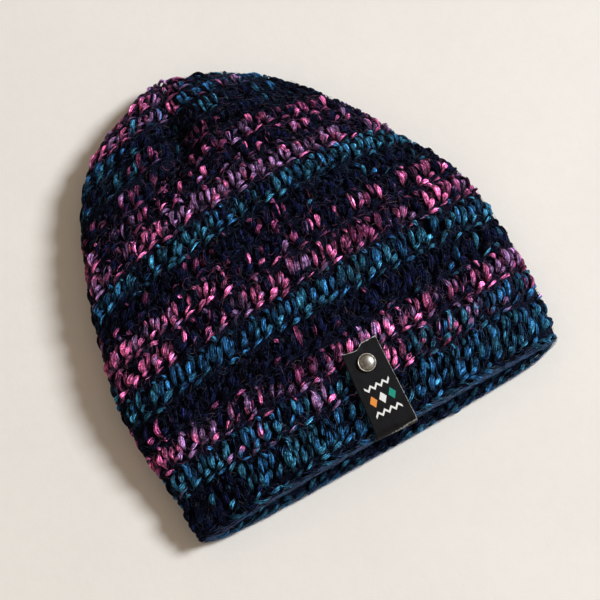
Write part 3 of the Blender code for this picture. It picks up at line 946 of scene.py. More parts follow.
class BeanieYarn(bpy.types.PropertyGroup):
    pitch: bpy.props.FloatProperty(
        name="Stitch Width", description="Width of one stitch along its round",
        default=8.0 * MM, min=4 * MM, max=16 * MM, subtype="DISTANCE", unit="LENGTH")
    pink: tint("Pink", "Brightest yarn", (1.0, 0.225, 0.54))
    rose: tint("Rose", "Dim pink yarn", (0.40, 0.080, 0.23))
    mauve: tint("Mauve", "Yarn between pink and blue", (0.40, 0.205, 0.46))
    blue: tint("Blue", "Blue yarn", (0.036, 0.185, 0.44))
    teal: tint("Teal", "Teal yarn", (0.042, 0.205, 0.345))
    navy: tint("Navy", "Darkest yarn", (0.0036, 0.0053, 0.029))
    fibres: bpy.props.IntProperty(
        name="Stray Fibres", description="How many fine fibres stand off the crochet", default=7600,
        min=0, max=9000)


class BeanieStage(bpy.types.PropertyGroup):
    azimuth: bpy.props.FloatProperty(
        name="Azimuth", description="Camera's direction round the hat", default=math.radians(-29.92),
        subtype="ANGLE", unit="ROTATION")
    elevation: bpy.props.FloatProperty(
        name="Elevation", description="Camera's angle over the floor", default=math.radians(70.0),
        subtype="ANGLE", unit="ROTATION")
    distance: bpy.props.FloatProperty(
        name="Distance", description="From the camera to the point that it looks at", default=0.95,
        subtype="DISTANCE", unit="LENGTH")
    target: bpy.props.FloatVectorProperty(
        name="Target", description="Point that the camera looks at", default=(-0.0006, -0.0300, 0.012),
        subtype="TRANSLATION", unit="LENGTH")
    lens: bpy.props.FloatProperty(
        name="Lens", description="Focal length in millimetres on a 36 mm sensor", default=102.02,
        min=10, max=300)
    floor: tint("Floor", "Floor's colour", (0.80, 0.753, 0.705))


INSIDE_END = 14.5            # the round where the shell's inner face ends
SEED = 20


class Hat:
    """The two faces of the shell, its stitch counts and its yarn."""

    def __init__(self, context, seed=SEED):
        settings = context.scene.beanie_yarn
        self.outer = Shell(sink=RELIEF)
        self.inner = Shell(inset=WALL, last=INSIDE_END)
        self.counts = stitch_counts(self.outer, settings.pitch)
        self.random = np.random.default_rng(seed)
        self.yarn = Yarn(palette(settings), left_fold(self.outer), self.random)

    def stitches(self, round_number):
        """The rounds and shares of the girth of one round's stitches, and the width
        of each as such a share."""
        count = self.counts[round_number]
        around = (np.arange(count) + STITCH_DRIFT * round_number) / count
        return np.full(count, float(round_number)), around, np.full(count, 1 / count)


def aimed(obj, location, target):
    """Stand an object at a place, its -Z towards the target and its Y up."""
    obj.location = location
    obj.rotation_mode = "QUATERNION"
    obj.rotation_quaternion = (Vector(target) - Vector(location)).to_track_quat("-Z", "Y")
    bpy.context.scene.collection.objects.link(obj)
    return obj


FLOOR_HALF = 8.0             # half the floor's width

# The lights: round areas that point at the origin
LIGHT_COLUMNS = ("name", "place", "size", "watts", "colour")
LIGHTS = (
    ("key", (3.07, -0.78, 2.86), 1.40, 219.0, (0.884, 0.95, 1.0)),
    ("fill", (-1.2, -1.6, 2.2), 1.6, 3.0, (1.0, 0.95, 0.88)),
)
SKY_COLOUR = (1.0, 0.824, 0.64, 1)
SKY_LEVEL = 0.315


class BEANIE_OT_stage(bpy.types.Operator):
    """Add the camera, a soft key light, a fill light and a plain pale floor"""
    bl_idname = "beanie.stage"
    bl_label = "Stage"

    def execute(self, context):
        settings = context.scene.beanie_stage
        a, e = settings.azimuth, settings.elevation
        back = np.array([math.sin(a) * math.cos(e), -math.cos(a) * math.cos(e), math.sin(e)])
        camera = bpy.data.objects.new("camera", bpy.data.cameras.new("camera"))
        camera.data.lens = settings.lens
        camera.data.clip_start, camera.data.clip_end = 0.05, 20
        aimed(camera, np.array(settings.target) + back * settings.distance, settings.target)
        context.scene.camera = camera
        for row in LIGHTS:
            lamp = dict(zip(LIGHT_COLUMNS, row))
            light = bpy.data.lights.new(lamp["name"], "AREA")
            light.shape, light.size = "DISK", lamp["size"]
            light.energy, light.color = lamp["watts"], lamp["colour"]
            aimed(bpy.data.objects.new(lamp["name"], light), lamp["place"], (0, 0, 0))
        world = bpy.data.worlds.new("studio")
        world.use_nodes = True
        world.node_tree.nodes["Background"].inputs["Color"].default_value = SKY_COLOUR
        world.node_tree.nodes["Background"].inputs["Strength"].default_value = SKY_LEVEL
        context.scene.world = world
        context.scene.view_settings.view_transform = "Standard"

        finish = Finish("floor", Roughness=0.75, Specular_IOR_Level=0.25)
        place = finish.place()
        mottle = finish.noise(place, 9.0, 4.0, 0.6) * 0.10 + finish.noise(place, 120.0, 3.0, 0.6) * 0.05
        tone = finish.grey(mottle + 0.925)
        finish.bump(finish.noise(place, 260.0, 3.0, 0.6), 0.10, 1.0 * MM)
        material = finish.give(Base_Color=finish.blend(1.0, (*settings.floor, 1), tone, "MULTIPLY"))
        corners = np.array([(-1, -1, 0), (1, -1, 0), (1, 1, 0), (-1, 1, 0)]) * FLOOR_HALF
        floor = array_mesh("floor", corners, [np.array([[0, 1, 2, 3]])], material=material)
        context.scene.collection.objects.link(floor)
        return {"FINISHED"}


# The core that the strands lie on, painted nearly black as the shade deep between them
CORE_SINK = 2.0 * MM         # how deep it lies in the shell, nothing at the side folds
CORE_EDGE = 1.8 * MM         # how far it stands out at the rim
CORE_LUMP = 0.5 * MM         # how high its lumps are, two across a stitch and two to a round
CORE_COLUMNS = 240
INNER_STEP = 0.5             # how far apart its inner rings are, in rounds
CORE_SHADE = 0.008           # its colour as a share of the yarn's: painted shade
CORE_FOLD_SHADE = 0.025      # and at the side folds, where its edge shows and less shade is painted
# A blue tint added to the core's painted shade
CORE_BLUE = (0.0002, 0.0006, 0.0060)


class BEANIE_OT_core(bpy.types.Operator):
    """Add the core, painted dark as the shade between the strands: the shell's outer face sunk below them,
    joined to the inner one
    """
    bl_idname = "beanie.core"
    bl_label = "Crochet Core"

    def execute(self, context):
        hat = Hat(context)
        around = np.arange(CORE_COLUMNS) / CORE_COLUMNS
        outer_rounds = np.arange(0, ROUNDS - RING_STEP, RING_STEP * 2)
        inner_rounds = np.arange(0, INSIDE_END, INNER_STEP)
        faces, shades = [], []
        for shell, rounds, side in ((hat.outer, outer_rounds, 1), (hat.inner, inner_rounds, -1)):
            row, share = np.meshgrid(rounds, around, indexing="ij")
            point, normal = shell.at(row, share)
            lump = np.sin(share * 2 * math.pi * hat.counts[0] * 2) * np.sin(row * math.pi * 4)
            turned = turned_at(normal)
            # Painted shade: the core's colour is a small share of the yarn's, a larger one at the side folds
            shades.append(CORE_SHADE + (CORE_FOLD_SHADE - CORE_SHADE) * turned * (side > 0))
            depth = side * CORE_SINK * (1 - turned)
            faces.append(point - normal * (depth - CORE_LUMP * lump)[..., None])
        outer, inner = faces
        edge = (outer[0] + inner[0]) / 2 + np.array([0, -CORE_EDGE, 0])
        rings = np.concatenate([inner[::-1], edge[None], outer])
        rings[..., 2] = np.maximum(rings[..., 2], FLOOR_CLEARANCE)
        row = np.concatenate([inner_rounds[::-1], [0], outer_rounds])
        shade = np.concatenate([shades[1][::-1], shades[1][:1], shades[0]])[..., None]
        colours = hat.yarn.mean(*np.meshgrid(row, around, indexing="ij")) * shade + np.array(CORE_BLUE)
        poles, pole_colours = rings[[0, -1]].mean(axis=1), colours[[0, -1]].mean(axis=1)
        obj = closed_tube("crochet_core", rings, poles, colours, pole_colours, core_finish(), inward=True)
        link(obj, "yarn", "crochet_body")
        return {"FINISHED"}


def stitch_shapes(number):
    """The strands of a round's stitches, each as a dictionary of the table's columns."""
    first, crown = number == 0, number >= CROWN_ROUND
    shapes = first_rows(STRAND, TAIL if first or crown else len(STITCH))
    if first:
        return [
            dict(shape, up_from=low, up_to=high, strength=shape["strength"] * FIRST_STRENGTH)
            for low, high in FIRST_TIERS for shape in shapes[:POSTS]
        ] + shapes[POSTS:]
    if crown:
        for shape in shapes:
            shape["half_width"] *= CROWN_THICKNESS
            shape["half_height"] *= CROWN_THICKNESS
            if shape["up_to"] > CROWN_HIGH:
                shape["up_from"] -= CROWN_LONGER[0]
                shape["up_to"] += CROWN_LONGER[1]
            else:
                shape["strength"] *= CROWN_STRENGTH
    return shapes


# The fuzz is in three pieces, by rounds
FUZZ_PIECES = (("fuzz_rim", 0, 5), ("fuzz_middle", 5, 10), ("fuzz_crown", 10, ROUNDS))


class BEANIE_OT_rounds(bpy.types.Operator):
    """Add each round of stitches: posts, legs, seam bars and the strands under them"""
    bl_idname = "beanie.rounds"
    bl_label = "Crochet Rounds"

    def execute(self, context):
        hat = Hat(context)
        finish, fine = yarn_finish("yarn"), fibre_finish("yarn_fuzz")
        fibres = []
        for number in range(ROUNDS):
            rounds, around, width = hat.stitches(number)
            lots = []
            for shape in stitch_shapes(number):
                laid = lay_strands(hat.outer, rounds, around, width, shape, hat.random)
                middle = np.maximum(rounds + (shape["up_from"] + shape["up_to"]) / 2, 0)
                tubes, fuzz = dress(laid, shape, hat.yarn, (middle, around), hat.random)
                lots += tubes
                fibres.append((number, fuzz))
            link(joined(f"crochet_round_{number + 1:02d}", lots, finish), "yarn")
        for name, first, last in FUZZ_PIECES:
            lots = [lot for number, lot in fibres if first <= number < last]
            link(joined(name, lots, fine), "yarn")
        return {"FINISHED"}


def rim_at(hat, turn, around, lift):
    """Points and normals on the rim's rounded edge: the middle of the wall + (half
    the wall + lift) * (cos(pi turn) * outward + sin(pi turn) * out of the mouth)."""
    outer, _ = hat.outer.at(np.zeros_like(around), around)
    inner, _ = hat.inner.at(np.zeros_like(around), around)
    half = np.linalg.norm(outer - inner, axis=-1, keepdims=True) / 2
    out = (outer - inner) / (2 * half)
    edge = np.array([0, -1.0, 0])
    edge = unit(edge - out * (out @ edge)[..., None])
    normal = out * np.cos(math.pi * turn)[..., None] + edge * np.sin(math.pi * turn)[..., None]
    return (outer + inner) / 2 + normal * (half + lift[..., None]), normal


# The chain round the rim. Each strand runs across, in stitch widths, and over the
# edge, in half turns from the outer face to the inner one
CHAIN_COLUMNS = (
    "across_from", "turn_from", "across_to", "turn_to", "half_width", "half_height", "end", "crest",
    "strength", "slivers", "fuzz",
)
# The chain's strengths are low: its colours are painted darker as the shade round the rim
CHAIN = (
    (-0.72, -0.12, 0.50, 0.42, 1.30, 1.10, -1.4, 0.20, 0.50, 7, 6),
    (-0.50, 0.98, 0.62, 0.50, 1.15, 0.95, -1.4, 0.10, 0.35, 5, 4),
    (-0.62, 0.42, 0.62, 0.52, 0.90, 0.75, -0.7, 0.00, 0.50, 4, 4),
)
CHAIN_DROP = 0.6 * MM        # how much lower the chain lies at the side folds
CHAIN_THIN_END = 0.35        # how thick a strand's ends are, as a share of its middle
CHAIN_LOOSE = {"across": 0.06, "turn": 0.025, "thickness": 0.1}   # how much its strands vary
CHAIN_STRAND = table(
    CHAIN_COLUMNS, CHAIN,
    unscaled=("across_from", "turn_from", "across_to", "turn_to", "strength", "slivers", "fuzz"),
)


class BEANIE_OT_rim(bpy.types.Operator):
    """Add the chain of leaf-shaped loops that binds the rim"""
    bl_idname = "beanie.rim"
    bl_label = "Rim Chain"

    def execute(self, context):
        hat = Hat(context, SEED + 1)
        random = hat.random
        _, around, width = hat.stitches(0)
        t = np.linspace(0, 1, STRAND_STEPS)[None]
        rise = np.sin(math.pi * t)
        lots, fibres = [], []

        def loose(part):
            return random.normal(0, CHAIN_LOOSE[part], (len(around), 1))

        for shape in first_rows(CHAIN_STRAND, len(CHAIN)):
            shift = loose("across")
            across = shape["across_from"] + (shape["across_to"] - shape["across_from"]) * t + shift
            turn = shape["turn_from"] + (shape["turn_to"] - shape["turn_from"]) * t
            turn = turn + loose("turn")
            place = around[:, None] - across * width[:, None]
            plain, _ = rim_at(hat, turn, place, np.zeros_like(place))
            lift = shape["end"] + (shape["crest"] - shape["end"]) * rise - PRESSED * under_tag(plain)
            _, face = hat.outer.at(np.zeros_like(place), place)
            lift = lift - CHAIN_DROP * turned_at(face)
            point, normal = rim_at(hat, turn, place, lift)
            swell = (CHAIN_THIN_END + (1 - CHAIN_THIN_END) * rise**SWELL_POWER) * (1 + loose("thickness"))
            laid = (point, normal, shape["half_width"] * swell, shape["half_height"] * swell)
            tubes, fuzz = dress(laid, shape, hat.yarn, (np.zeros_like(around), around), random)
            lots += tubes
            fibres.append(fuzz)
        link(joined("rim_chain", lots, yarn_finish("yarn_rim")), "yarn")
        link(joined("fuzz_chain", fibres, fibre_finish("yarn_chain_fuzz")), "yarn")
        return {"FINISHED"}


# The stitches' inner sides, their colour painted darker as the shade inside the hat: a share of its strength
INSIDE_ROUNDS = 3
INSIDE_STRENGTH = 0.45
INSIDE_SLIVERS = 3
BESIDE_TAG = 0.01            # strands less under the tag than this share lie beside it


class BEANIE_OT_inside(bpy.types.Operator):
    """Add the stitches' inner sides round the mouth"""
    bl_idname = "beanie.inside"
    bl_label = "Inside Rounds"

    def execute(self, context):
        hat = Hat(context, SEED + 2)
        finish = yarn_finish("yarn_inside")
        for number in range(INSIDE_ROUNDS):
            rounds, around, width = hat.stitches(number)
            lots = []
            for shape in first_rows(STRAND, TAIL):
                laid = lay_strands(hat.inner, rounds, around, -width, shape, hat.random, side=-1)
                middle = rounds + (shape["up_from"] + shape["up_to"]) / 2
                shape["strength"] *= INSIDE_STRENGTH
                shape["slivers"] = INSIDE_SLIVERS
                shape["fuzz"] = 1
                point = laid[0]
                y = point[:, STRAND_STEPS // 2, 1] - RIM_Y
                beside = under_tag(point + np.array([0, 0, WALL])).max(axis=1) < BESIDE_TAG
                clear = beside | (y > TAG_BACK_Y)
                laid = [part[clear] for part in laid]
                lots += dress(laid, shape, hat.yarn, (middle[clear], around[clear]), hat.random)[0]
            link(joined(f"inside_round_{number + 1:02d}", lots, finish), "yarn")
        return {"FINISHED"}


# The stray fibres, least and most, in millimetres: how long they are, how high they
# start over the shell, how much higher they end, and their radius
FIBRE_LENGTH = (2.5, 7.0)
FIBRE_START = (0.5, 1.5)
FIBRE_RISE = (0.0, 1.2)
FIBRE_RADIUS = (0.03, 0.06)
FIBRE_STEPS = 5              # places along each
FIBRE_CURL = 1.5             # how much they turn along their run, in radians
ROUND_HEIGHT = 14.5 * MM     # how high a round is
LAST_ROUND = ROUNDS - 0.3    # none lies nearer to the crown's end
UPPER_SHARE = 0.8            # the share of fibres on the upper side
UPPER_SIDE = (-0.02, 0.52)   # where that is, as shares of the girth
LOWER_SIDE = (0.5, 1.0)      # and where the lower side is
FIBRE_DROP = 0.8             # how much nearer to the shell they lie at its folds
FIBRE_PRESSED = 0.5          # and at the tag
FIBRE_MIX = (0.45, 0.95)     # how much of the fibres' own colour they have
FIBRE_WARM = (0.26, 0.20, 0.16)
WARM_SHARE = 0.10            # the share of fibres of that colour

# The rim's fibres: how many, how long and how high they are, in millimetres, where they
# start over the edge and how they turn, in half turns, and how much paler they are
RIM_FIBRES = 2400
RIM_LENGTH = (4.0, 9.0)
RIM_LIFT = (0.3, 1.5)
RIM_LIFT_ALONG = (0.6, 1.3)
RIM_MIDDLE = 0.42
RIM_SPREAD = 0.16
RIM_TURN = 0.12
RIM_PALE = 2.6


class BEANIE_OT_fibres(bpy.types.Operator):
    """Add the stray fibres that stand off the yarn, thickest along the rim"""
    bl_idname = "beanie.fibres"
    bl_label = "Stray Fibres"

    def execute(self, context):
        hat = Hat(context, SEED + 3)
        random = hat.random
        finish = fibre_finish("yarn_fibre")
        t = np.linspace(0, 1, FIBRE_STEPS)[None]

        count = context.scene.beanie_yarn.fibres
        girth = hat.outer.girth_at(np.arange(ROUNDS) + 0.5)
        rounds = random.choice(ROUNDS, count, p=girth / girth.sum()) + random.random(count)
        upper = random.random(count) < UPPER_SHARE
        around = np.where(upper, random.uniform(*UPPER_SIDE, count), random.uniform(*LOWER_SIDE, count))
        one_each = (count, 1)
        heading = random.uniform(0, 2 * math.pi, one_each) + random.normal(0, FIBRE_CURL, one_each) * t
        length = random.uniform(*FIBRE_LENGTH, one_each) * MM
        ring = hat.outer.girth_at(rounds)[:, None]
        row = rounds[:, None] + np.cos(heading) * length * t / ROUND_HEIGHT
        share = around[:, None] + np.sin(heading) * length * t / ring
        point, normal = hat.outer.at(np.clip(row, 0, LAST_ROUND), share)
        lift = random.uniform(*FIBRE_START, one_each) + random.uniform(*FIBRE_RISE, one_each) * t
        lift = lift * (1 - FIBRE_DROP * turned_at(normal))
        point = point + normal * (lift * MM)[..., None] * (1 - FIBRE_PRESSED * under_tag(point))[..., None]
        self.fibres("stray_fibres", hat, point, normal, rounds, around, finish, 1.0)

        around = random.random(RIM_FIBRES)
        one_each = (RIM_FIBRES, 1)
        turn = random.normal(RIM_MIDDLE, RIM_SPREAD, one_each) + random.normal(0, RIM_TURN, one_each) * t
        length = random.uniform(*RIM_LENGTH, one_each) * MM * random.choice([-1, 1], one_each)
        share = around[:, None] + length * t / hat.outer.girth[0]
        lift = random.uniform(*RIM_LIFT, one_each) * MM * np.interp(t, (0, 1), RIM_LIFT_ALONG)
        point, normal = rim_at(hat, turn, share, lift)
        self.fibres("rim_fibres", hat, point, normal, np.zeros(RIM_FIBRES), around, finish, RIM_PALE)
        return {"FINISHED"}

    def fibres(self, name, hat, point, normal, rounds, around, finish, level):
        """One mesh of fibres, paler than the yarn that they stand on."""
        count = len(rounds)
        radius = np.broadcast_to(hat.random.uniform(*FIBRE_RADIUS, (count, 1)) * MM, point.shape[:2])
        warm = hat.random.random((count, 1)) < WARM_SHARE
        pale = np.where(warm, np.array(FIBRE_WARM), np.array(FIBRE_PALE) * level)
        mix = hat.random.uniform(*FIBRE_MIX, (count, 1))
        colour = hat.yarn.draw(rounds, around) * (1 - mix) + pale * mix
        colours = np.repeat(colour[:, None], FIBRE_STEPS, axis=1)
        lot = tube_arrays(point, normal, radius, radius, colours, colours, WOOL_SIDES, pinched=True)
        link(joined(name, [lot], finish), "yarn")


# How finely the tag is worked out, and its edges
LEAF_STEPS = 56              # along each leaf
FOLD_STEPS = 28              # round the fold
TAG_ACROSS = 48
EDGE_ROUND = 0.35 * MM       # how far its upper and lower edges are cut back
EDGE_LINE = 0.985            # the cut edges' pale line, partly wear and partly a painted highlight, as a share of half the width
LEFT_EDGE_SHADED = 0.30             # how much of it shows on the left edge, less there as painted shade since that edge faces away from the light
FOLD_WEAR_AND_HIGHLIGHT = 0.50             # and where the leather folds: wear and a painted highlight
FOLD_LINE_HALF = 0.6 * MM    # that pale line's half width
END_REACH = 6.0 * MM         # how far from the front leaf's end its cut is still felt
ROUND_OFF = 0.01 * MM        # less than this is no distance
LEATHER_SHARP = 50.0         # edges that turn by more degrees are sharp
PRINT_SHARP = 40.0

# The front leaf's cut end, a little sharper than the solid's: shares across it, and how
# far the end is moved up there
END_COLUMNS = ("at", "move")
END_EDGE = (
    (-0.50, -0.2),
    (-0.42, -1.1),
    (-0.28, -1.8),
    (-0.14, -2.3),
    (-0.04, -1.7),
    (0.03, -0.5),
    (0.09, 0.1),
    (0.50, 0.0),
)
END = table(END_COLUMNS, END_EDGE, unscaled=("at",))


def tag_path():
    """The tag's middle surface seen from the side, from the back leaf's end round
    the fold to the front leaf's end: distances from the rim, heights and normals."""
    loops = hat_sections(np.linspace(0, TAG_ROUNDS, LEAF_STEPS))[:, : RING_POINTS // 2]
    line = []
    for loop in loops:
        arch = loop[np.argsort(loop[:, 0])]
        line.append([np.interp(TAG_FOLD_X, arch[:, 0], arch[:, i]) for i in (1, 2)])
    line = np.array(line)
    edge = np.interp(line[0, 0] + TAG_EDGE, line[:, 0], line[:, 1])
    slope = math.atan2(edge - line[0, 1], TAG_EDGE)
    front_lift = RIB + TAG_STAND_OFF + LEATHER / 2
    back_drop = (WALL + TAG_STAND_OFF + LEATHER / 2) / math.cos(slope)
    radius = (front_lift + back_drop) / 2
    centre_y = TAG_FOLD_Y + radius + LEATHER / 2
    front_y = np.linspace(centre_y - radius * math.sin(slope), TAG_END_Y, LEAF_STEPS + 1)
    back_y = np.linspace(TAG_BACK_Y, centre_y + radius * math.sin(slope), LEAF_STEPS + 1)
    front_z = np.interp(front_y, line[:, 0], line[:, 1]) + front_lift
    back_z = np.interp(back_y, line[:, 0], line[:, 1]) - back_drop
    centre_z = (front_z[0] + back_z[-1]) / 2
    turn = np.linspace(1.5, 0.5, FOLD_STEPS + 1)[1:-1] * math.pi + slope
    bend = np.stack([centre_y + radius * np.cos(turn), centre_z + radius * np.sin(turn)], axis=1)
    path = np.concatenate([np.stack([back_y, back_z], axis=1), bend, np.stack([front_y, front_z], axis=1)])
    along = unit(np.gradient(path, axis=0))
    return path, np.stack([-along[:, 1], along[:, 0]], axis=1)


class Tag:
    """The tag's leaf as a surface of a share across it and a distance along it."""

    def __init__(self):
        self.path, self.outward = tag_path()
        step = np.linalg.norm(np.diff(self.path, axis=0), axis=1)
        self.along = np.concatenate([[0], step.cumsum()])

    def at(self, across, along, level):
        """Points at a share across, from -0.5 to 0.5, a distance from the back leaf's
        end and a level over the middle surface, with the faces' normals."""
        y, z, out_y, out_z = (
            np.interp(along, self.along, column) for column in (*self.path.T, *self.outward.T)
        )
        share = np.clip((y - TAG_FOLD_Y) / (TAG_END_Y - TAG_FOLD_Y), 0, 1)
        width = TAG_FOLD_WIDTH + (TAG_END_WIDTH - TAG_FOLD_WIDTH) * share
        x = TAG_FOLD_X + TAG_LEAN * (y - TAG_FOLD_Y) + width * across
        tilt = TAG_FOLD_TILT * (1 - share) * width * across
        near_end = np.clip(1 - (self.along[-1] - along) / END_REACH, 0, 1)
        wave = smooth(END["at"], END["move"], across) * near_end
        point = np.stack([x, y + tilt + wave + out_y * level, z + out_z * level], axis=-1)
        normal = np.stack([np.zeros_like(x), out_y, out_z], axis=-1)
        return point + np.array([MIDDLE_X, RIM_Y, 0]), normal

    def front_at(self, y):
        """The distance along the strip of a place on the front leaf, by its y."""
        front = len(self.path) - LEAF_STEPS - 1
        return np.interp(y, self.path[front:, 0], self.along[front:])


LEATHER_DARK = (0.0020, 0.0020, 0.0030, 1)
LEATHER_PALE = (0.0075, 0.0070, 0.0085, 1)
# The pale of its cut edges and fold: partly wear, partly a painted highlight
LEATHER_WEAR_AND_HIGHLIGHT = (0.60, 0.57, 0.54, 1)


def leather_finish():
    """Black grained leather, pale on its cut edges and at its fold: partly wear and partly a painted
    highlight, strongest on the right edge.
    """
    finish = Finish("leather_black", Roughness=0.6, Specular_IOR_Level=0.12)
    place = finish.place()
    sockets = {"Vector": place, "Scale": 1500.0}
    grain = finish.node("ShaderNodeTexVoronoi", {"feature": "F1"}, sockets, "Distance")
    mottle = finish.noise(place, 260.0, 4.0, 0.65)
    worn = finish.attribute("worn", "Fac")
    finish.bump(grain * 0.6 + mottle * 0.8, 0.6, 0.25 * MM)
    tone = finish.blend(mottle.between(0.3, 0.75), LEATHER_DARK, LEATHER_PALE)
    # The pale edges, wear and painted highlight together, made ragged by noise
    pale_edge_and_highlight = worn * (0.55 + finish.noise(place, 900.0, 2.0).between(0.35, 0.6) * 0.75)
    return finish.give(
        Base_Color=finish.blend(pale_edge_and_highlight.between(0.25, 1.0), tone, LEATHER_WEAR_AND_HIGHLIGHT),
        Roughness=0.48 + mottle * 0.3,
    )


def print_finish(name, colour):
    """Thick matt print with a slightly uneven face."""
    finish = Finish(name, Roughness=0.55, Specular_IOR_Level=0.3)
    uneven = finish.noise(finish.place(), 1400.0, 3.0)
    finish.bump(uneven, 0.4, 0.15 * MM)
    worn = (*(part * PRINT_WORN for part in colour), 1)
    return finish.give(Base_Color=finish.blend(uneven.between(0.2, 0.6) * 0.35, (*colour, 1), worn))


# The tag's plain geometric border. Places are distances from the front leaf's upper end
PRINT_HEIGHT = 0.12 * MM
ZIGZAG_AT = (24.0 * MM, 38.5 * MM)
ZIGZAG_TEETH = 4
ZIGZAG_WIDTH = 16.0 * MM
ZIGZAG_RISE = 2.2 * MM
ZIGZAG_THICK = 1.5 * MM
LOZENGE_AT = 31.2 * MM
LOZENGE_STEP = 5.9 * MM
LOZENGE_HALF = (2.3 * MM, 3.3 * MM)
PRINT_WHITE = (0.82, 0.80, 0.78)
PRINT_ORANGE = (0.80, 0.27, 0.04)
PRINT_TEAL = (0.0, 0.27, 0.19)
PRINT_WORN = 0.72            # how dark the print is where it is uneven
LOZENGES = (("left", -1, PRINT_ORANGE), ("middle", 0, PRINT_WHITE), ("right", 1, PRINT_TEAL))


def printed(tag, name, outlines, material):
    """Flat shapes laid on the front leaf and raised by the print's height.

    Each outline is a row of points, an x from the leaf's middle and a distance from
    its upper end. Its quads run between the row's first and second half.
    """
    outlines = np.asarray(outlines, float)
    count, size = outlines.shape[:2]
    across = outlines[..., 0] / TAG_FOLD_WIDTH
    along = tag.along[-1] - outlines[..., 1]
    top, _ = tag.at(across, along, LEATHER / 2 + PRINT_HEIGHT)
    base, _ = tag.at(across, along, LEATHER / 2 - PRINT_HEIGHT)
    points = np.concatenate([top, base], axis=1).reshape(-1, 3)
    face = strip_faces(size)
    j = np.arange(size)
    k = (j + 1) % size
    wall = np.stack([j, j + size, k + size, k], axis=-1)
    under = face[:, ::-1] + size
    quads = np.concatenate([face, wall, under])
    shift = (np.arange(count) * size * 2)[:, None, None]
    obj = array_mesh(name, points, [(quads[None] + shift).reshape(-1, 4)], material=material)
    obj.data.set_sharp_from_angle(angle=math.radians(PRINT_SHARP))
    return link(obj, "leather")


class BEANIE_OT_tag(bpy.types.Operator):
    """Add the folded leather tag and its printed border"""
    bl_idname = "beanie.tag"
    bl_label = "Leather Tag"

    def execute(self, context):
        tag = Tag()
        along = tag.along
        inset = 0.5 - EDGE_ROUND / TAG_FOLD_WIDTH
        upper = np.insert(np.linspace(-0.5, 0.5, TAG_ACROSS + 1), [1, TAG_ACROSS], [-inset, inset])
        level = np.full(len(upper), LEATHER / 2)
        level[[0, -1]] -= EDGE_ROUND
        ring_across = np.concatenate([upper, upper[::-1]])
        ring_level = np.concatenate([level, -level[::-1]])
        share, distance = np.meshgrid(ring_across, along)
        points, _ = tag.at(share, distance, np.broadcast_to(ring_level, share.shape))
        count, size = share.shape
        skin, _ = tube_faces(count, size, inward=True)
        cap = strip_faces(size)
        ends = np.concatenate([cap, cap[:, ::-1] + (count - 1) * size])
        obj = array_mesh("tag_leather", points.reshape(-1, 3), [np.concatenate([skin, ends])])
        # The pale edge line: wear on every cut edge, with a painted highlight on the right edge and along
        # the fold, dimmed as painted shade on the left edge
        side = np.where(share * 2 > EDGE_LINE, 1.0, np.where(share * 2 < -EDGE_LINE, LEFT_EDGE_SHADED, 0.0))
        end = (distance >= along[-1] - ROUND_OFF) | (distance <= ROUND_OFF)
        fold = FOLD_WEAR_AND_HIGHLIGHT * np.exp(-(((points[..., 1] - RIM_Y - TAG_FOLD_Y) / FOLD_LINE_HALF) ** 2))
        layer = obj.data.attributes.new("worn", "FLOAT", "POINT")
        worn = np.maximum(np.maximum(side, end), fold) * (ring_level > -LEATHER / 2 + EDGE_ROUND)
        layer.data.foreach_set("value", worn.astype(np.float32).ravel())
        obj.data.set_sharp_from_angle(angle=math.radians(LEATHER_SHARP))
        obj.data.materials.append(leather_finish())
        link(obj, "leather", "leather_tag")

        prints = self.border(tag)
        return {"FINISHED"}

    def border(self, tag):
        """Two zigzags with three lozenges between them."""
        white = print_finish("print_white", PRINT_WHITE)
        steps = ZIGZAG_TEETH * 2
        x = (np.arange(steps + 1) / steps - 0.5) * ZIGZAG_WIDTH
        tooth = (np.arange(steps + 1) % 2 - 0.5) * ZIGZAG_RISE
        bands = []
        for at, way in zip(ZIGZAG_AT, (1, -1)):
            line = at + tooth * way
            near = np.stack([x, line + ZIGZAG_THICK / 2], axis=1)
            far = np.stack([x, line - ZIGZAG_THICK / 2], axis=1)
            bands.append(np.concatenate([near, far[::-1]]))
        pieces = [printed(tag, "print_zigzags", bands, white)]
        wide, high = LOZENGE_HALF
        corner = np.array([(-wide, 0), (0, high), (wide, 0), (0, -high)])
        for name, place, colour in LOZENGES:
            finish = print_finish(f"print_{name}", colour)
            outline = corner + (place * LOZENGE_STEP, LOZENGE_AT)
            pieces.append(printed(tag, f"print_lozenge_{name}", [outline], finish))
        return pieces


NICKEL = (0.78, 0.74, 0.67)
POST_NICKEL = (0.66, 0.63, 0.57, 1)
POST_ROUGHNESS = 0.3
SMUDGE = (0.13, 0.11, 0.09, 1)


def rubbed(name, **constants):
    """A metal's finish with fine rubbing marks, and the marks' signal."""
    finish = Finish(name, Metallic=1.0, **constants)
    marks = finish.noise(finish.place(), 1800.0, 3.0)
    finish.bump(marks, 0.08, 0.1 * MM)
    return finish, marks


def post_finish():
    """Polished nickel."""
    finish, marks = rubbed("nickel_post", Base_Color=POST_NICKEL)
    return finish.give(Roughness=marks * 0.12 + POST_ROUGHNESS)


def cap_finish():
    """The cap's nickel: full on its rolled rim, dark in the groove inside it, and on the
    dome painted darker as a dim reflection, duller and with smudges."""
    finish, marks = rubbed("nickel_cap")
    smudge = finish.noise(finish.place(), 420.0, 3.0, 0.6).between(0.35, 0.65)
    tone = finish.blend(smudge * 0.75, finish.attribute("yarn"), SMUDGE)
    return finish.give(Base_Color=tone, Roughness=marks * 0.12 + smudge * 0.10 + 0.33)


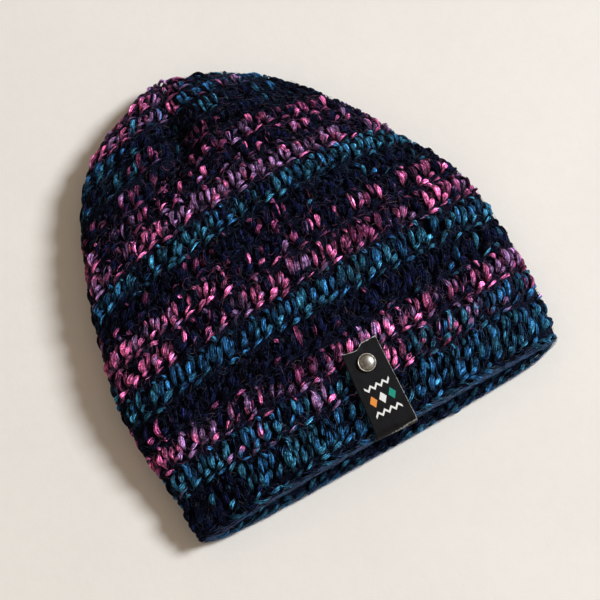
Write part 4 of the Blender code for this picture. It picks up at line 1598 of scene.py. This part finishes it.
class BEANIE_OT_rivet(bpy.types.Operator):
    """Add the rivet's cap: a rolled rim round a shallow dome, turned about its axis"""
    bl_idname = "beanie.rivet"
    bl_label = "Rivet"

    def execute(self, context):
        tag = Tag()
        base, axis = tag.at(0.0, tag.front_at(RIVET_Y), LEATHER / 2 + GAP)
        first = np.array([1.0, 0, 0])
        second = np.cross(axis, first)
        radius, height = np.array(CAP_PROFILE[:-1]).T[:, :, None, None]
        angle = np.arange(ROUND_SIDES)[:, None] * 2 * math.pi / ROUND_SIDES
        spoke = np.cos(angle) * first + np.sin(angle) * second
        rings = base + radius * RIVET_DIAMETER / 2 * spoke + height * RIVET_HEIGHT * axis
        poles = [base, base + axis * RIVET_HEIGHT]
        tones = np.array(CAP_PAINTED_TONES)[:, None] * np.array(NICKEL)
        colours = np.repeat(tones[:-1], ROUND_SIDES, axis=0)
        obj = closed_tube("rivet_dome", rings, poles, colours, tones[[0, -1]], cap_finish())
        link(obj, "nickel", "rivet_cap")
        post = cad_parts["rivet_post"]
        post.data.materials.clear()
        post.data.materials.append(post_finish())
        return {"FINISHED"}


class BEANIE_PT_panel(bpy.types.Panel):
    """The beanie's settings and a button for each kind of piece"""
    bl_idname = "BEANIE_PT_panel"
    bl_label = "Crocheted Beanie"
    bl_space_type = "VIEW_3D"
    bl_region_type = "UI"
    bl_category = "Beanie"

    def draw(self, context):
        for name in ("beanie_yarn", "beanie_stage"):
            box = self.layout.box()
            group = getattr(context.scene, name)
            for setting in group.__annotations__:
                box.prop(group, setting)
        for operator in OPERATORS:
            self.layout.operator(operator.bl_idname)


OPERATORS = (
    BEANIE_OT_stage, BEANIE_OT_core, BEANIE_OT_rounds, BEANIE_OT_rim, BEANIE_OT_inside,
    BEANIE_OT_fibres, BEANIE_OT_tag, BEANIE_OT_rivet,
)
CLASSES = (BeanieYarn, BeanieStage, *OPERATORS, BEANIE_PT_panel)


def register():
    for item in CLASSES:
        bpy.utils.register_class(item)
    bpy.types.Scene.beanie_yarn = bpy.props.PointerProperty(type=BeanieYarn)
    bpy.types.Scene.beanie_stage = bpy.props.PointerProperty(type=BeanieStage)


def unregister():
    del bpy.types.Scene.beanie_yarn
    del bpy.types.Scene.beanie_stage
    for item in reversed(CLASSES):
        bpy.utils.unregister_class(item)


def main():
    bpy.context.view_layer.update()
    register()
    for operator in OPERATORS:
        group, name = operator.bl_idname.split(".")
        getattr(getattr(bpy.ops, group), name)()


if __name__ == "__main__":
    main()
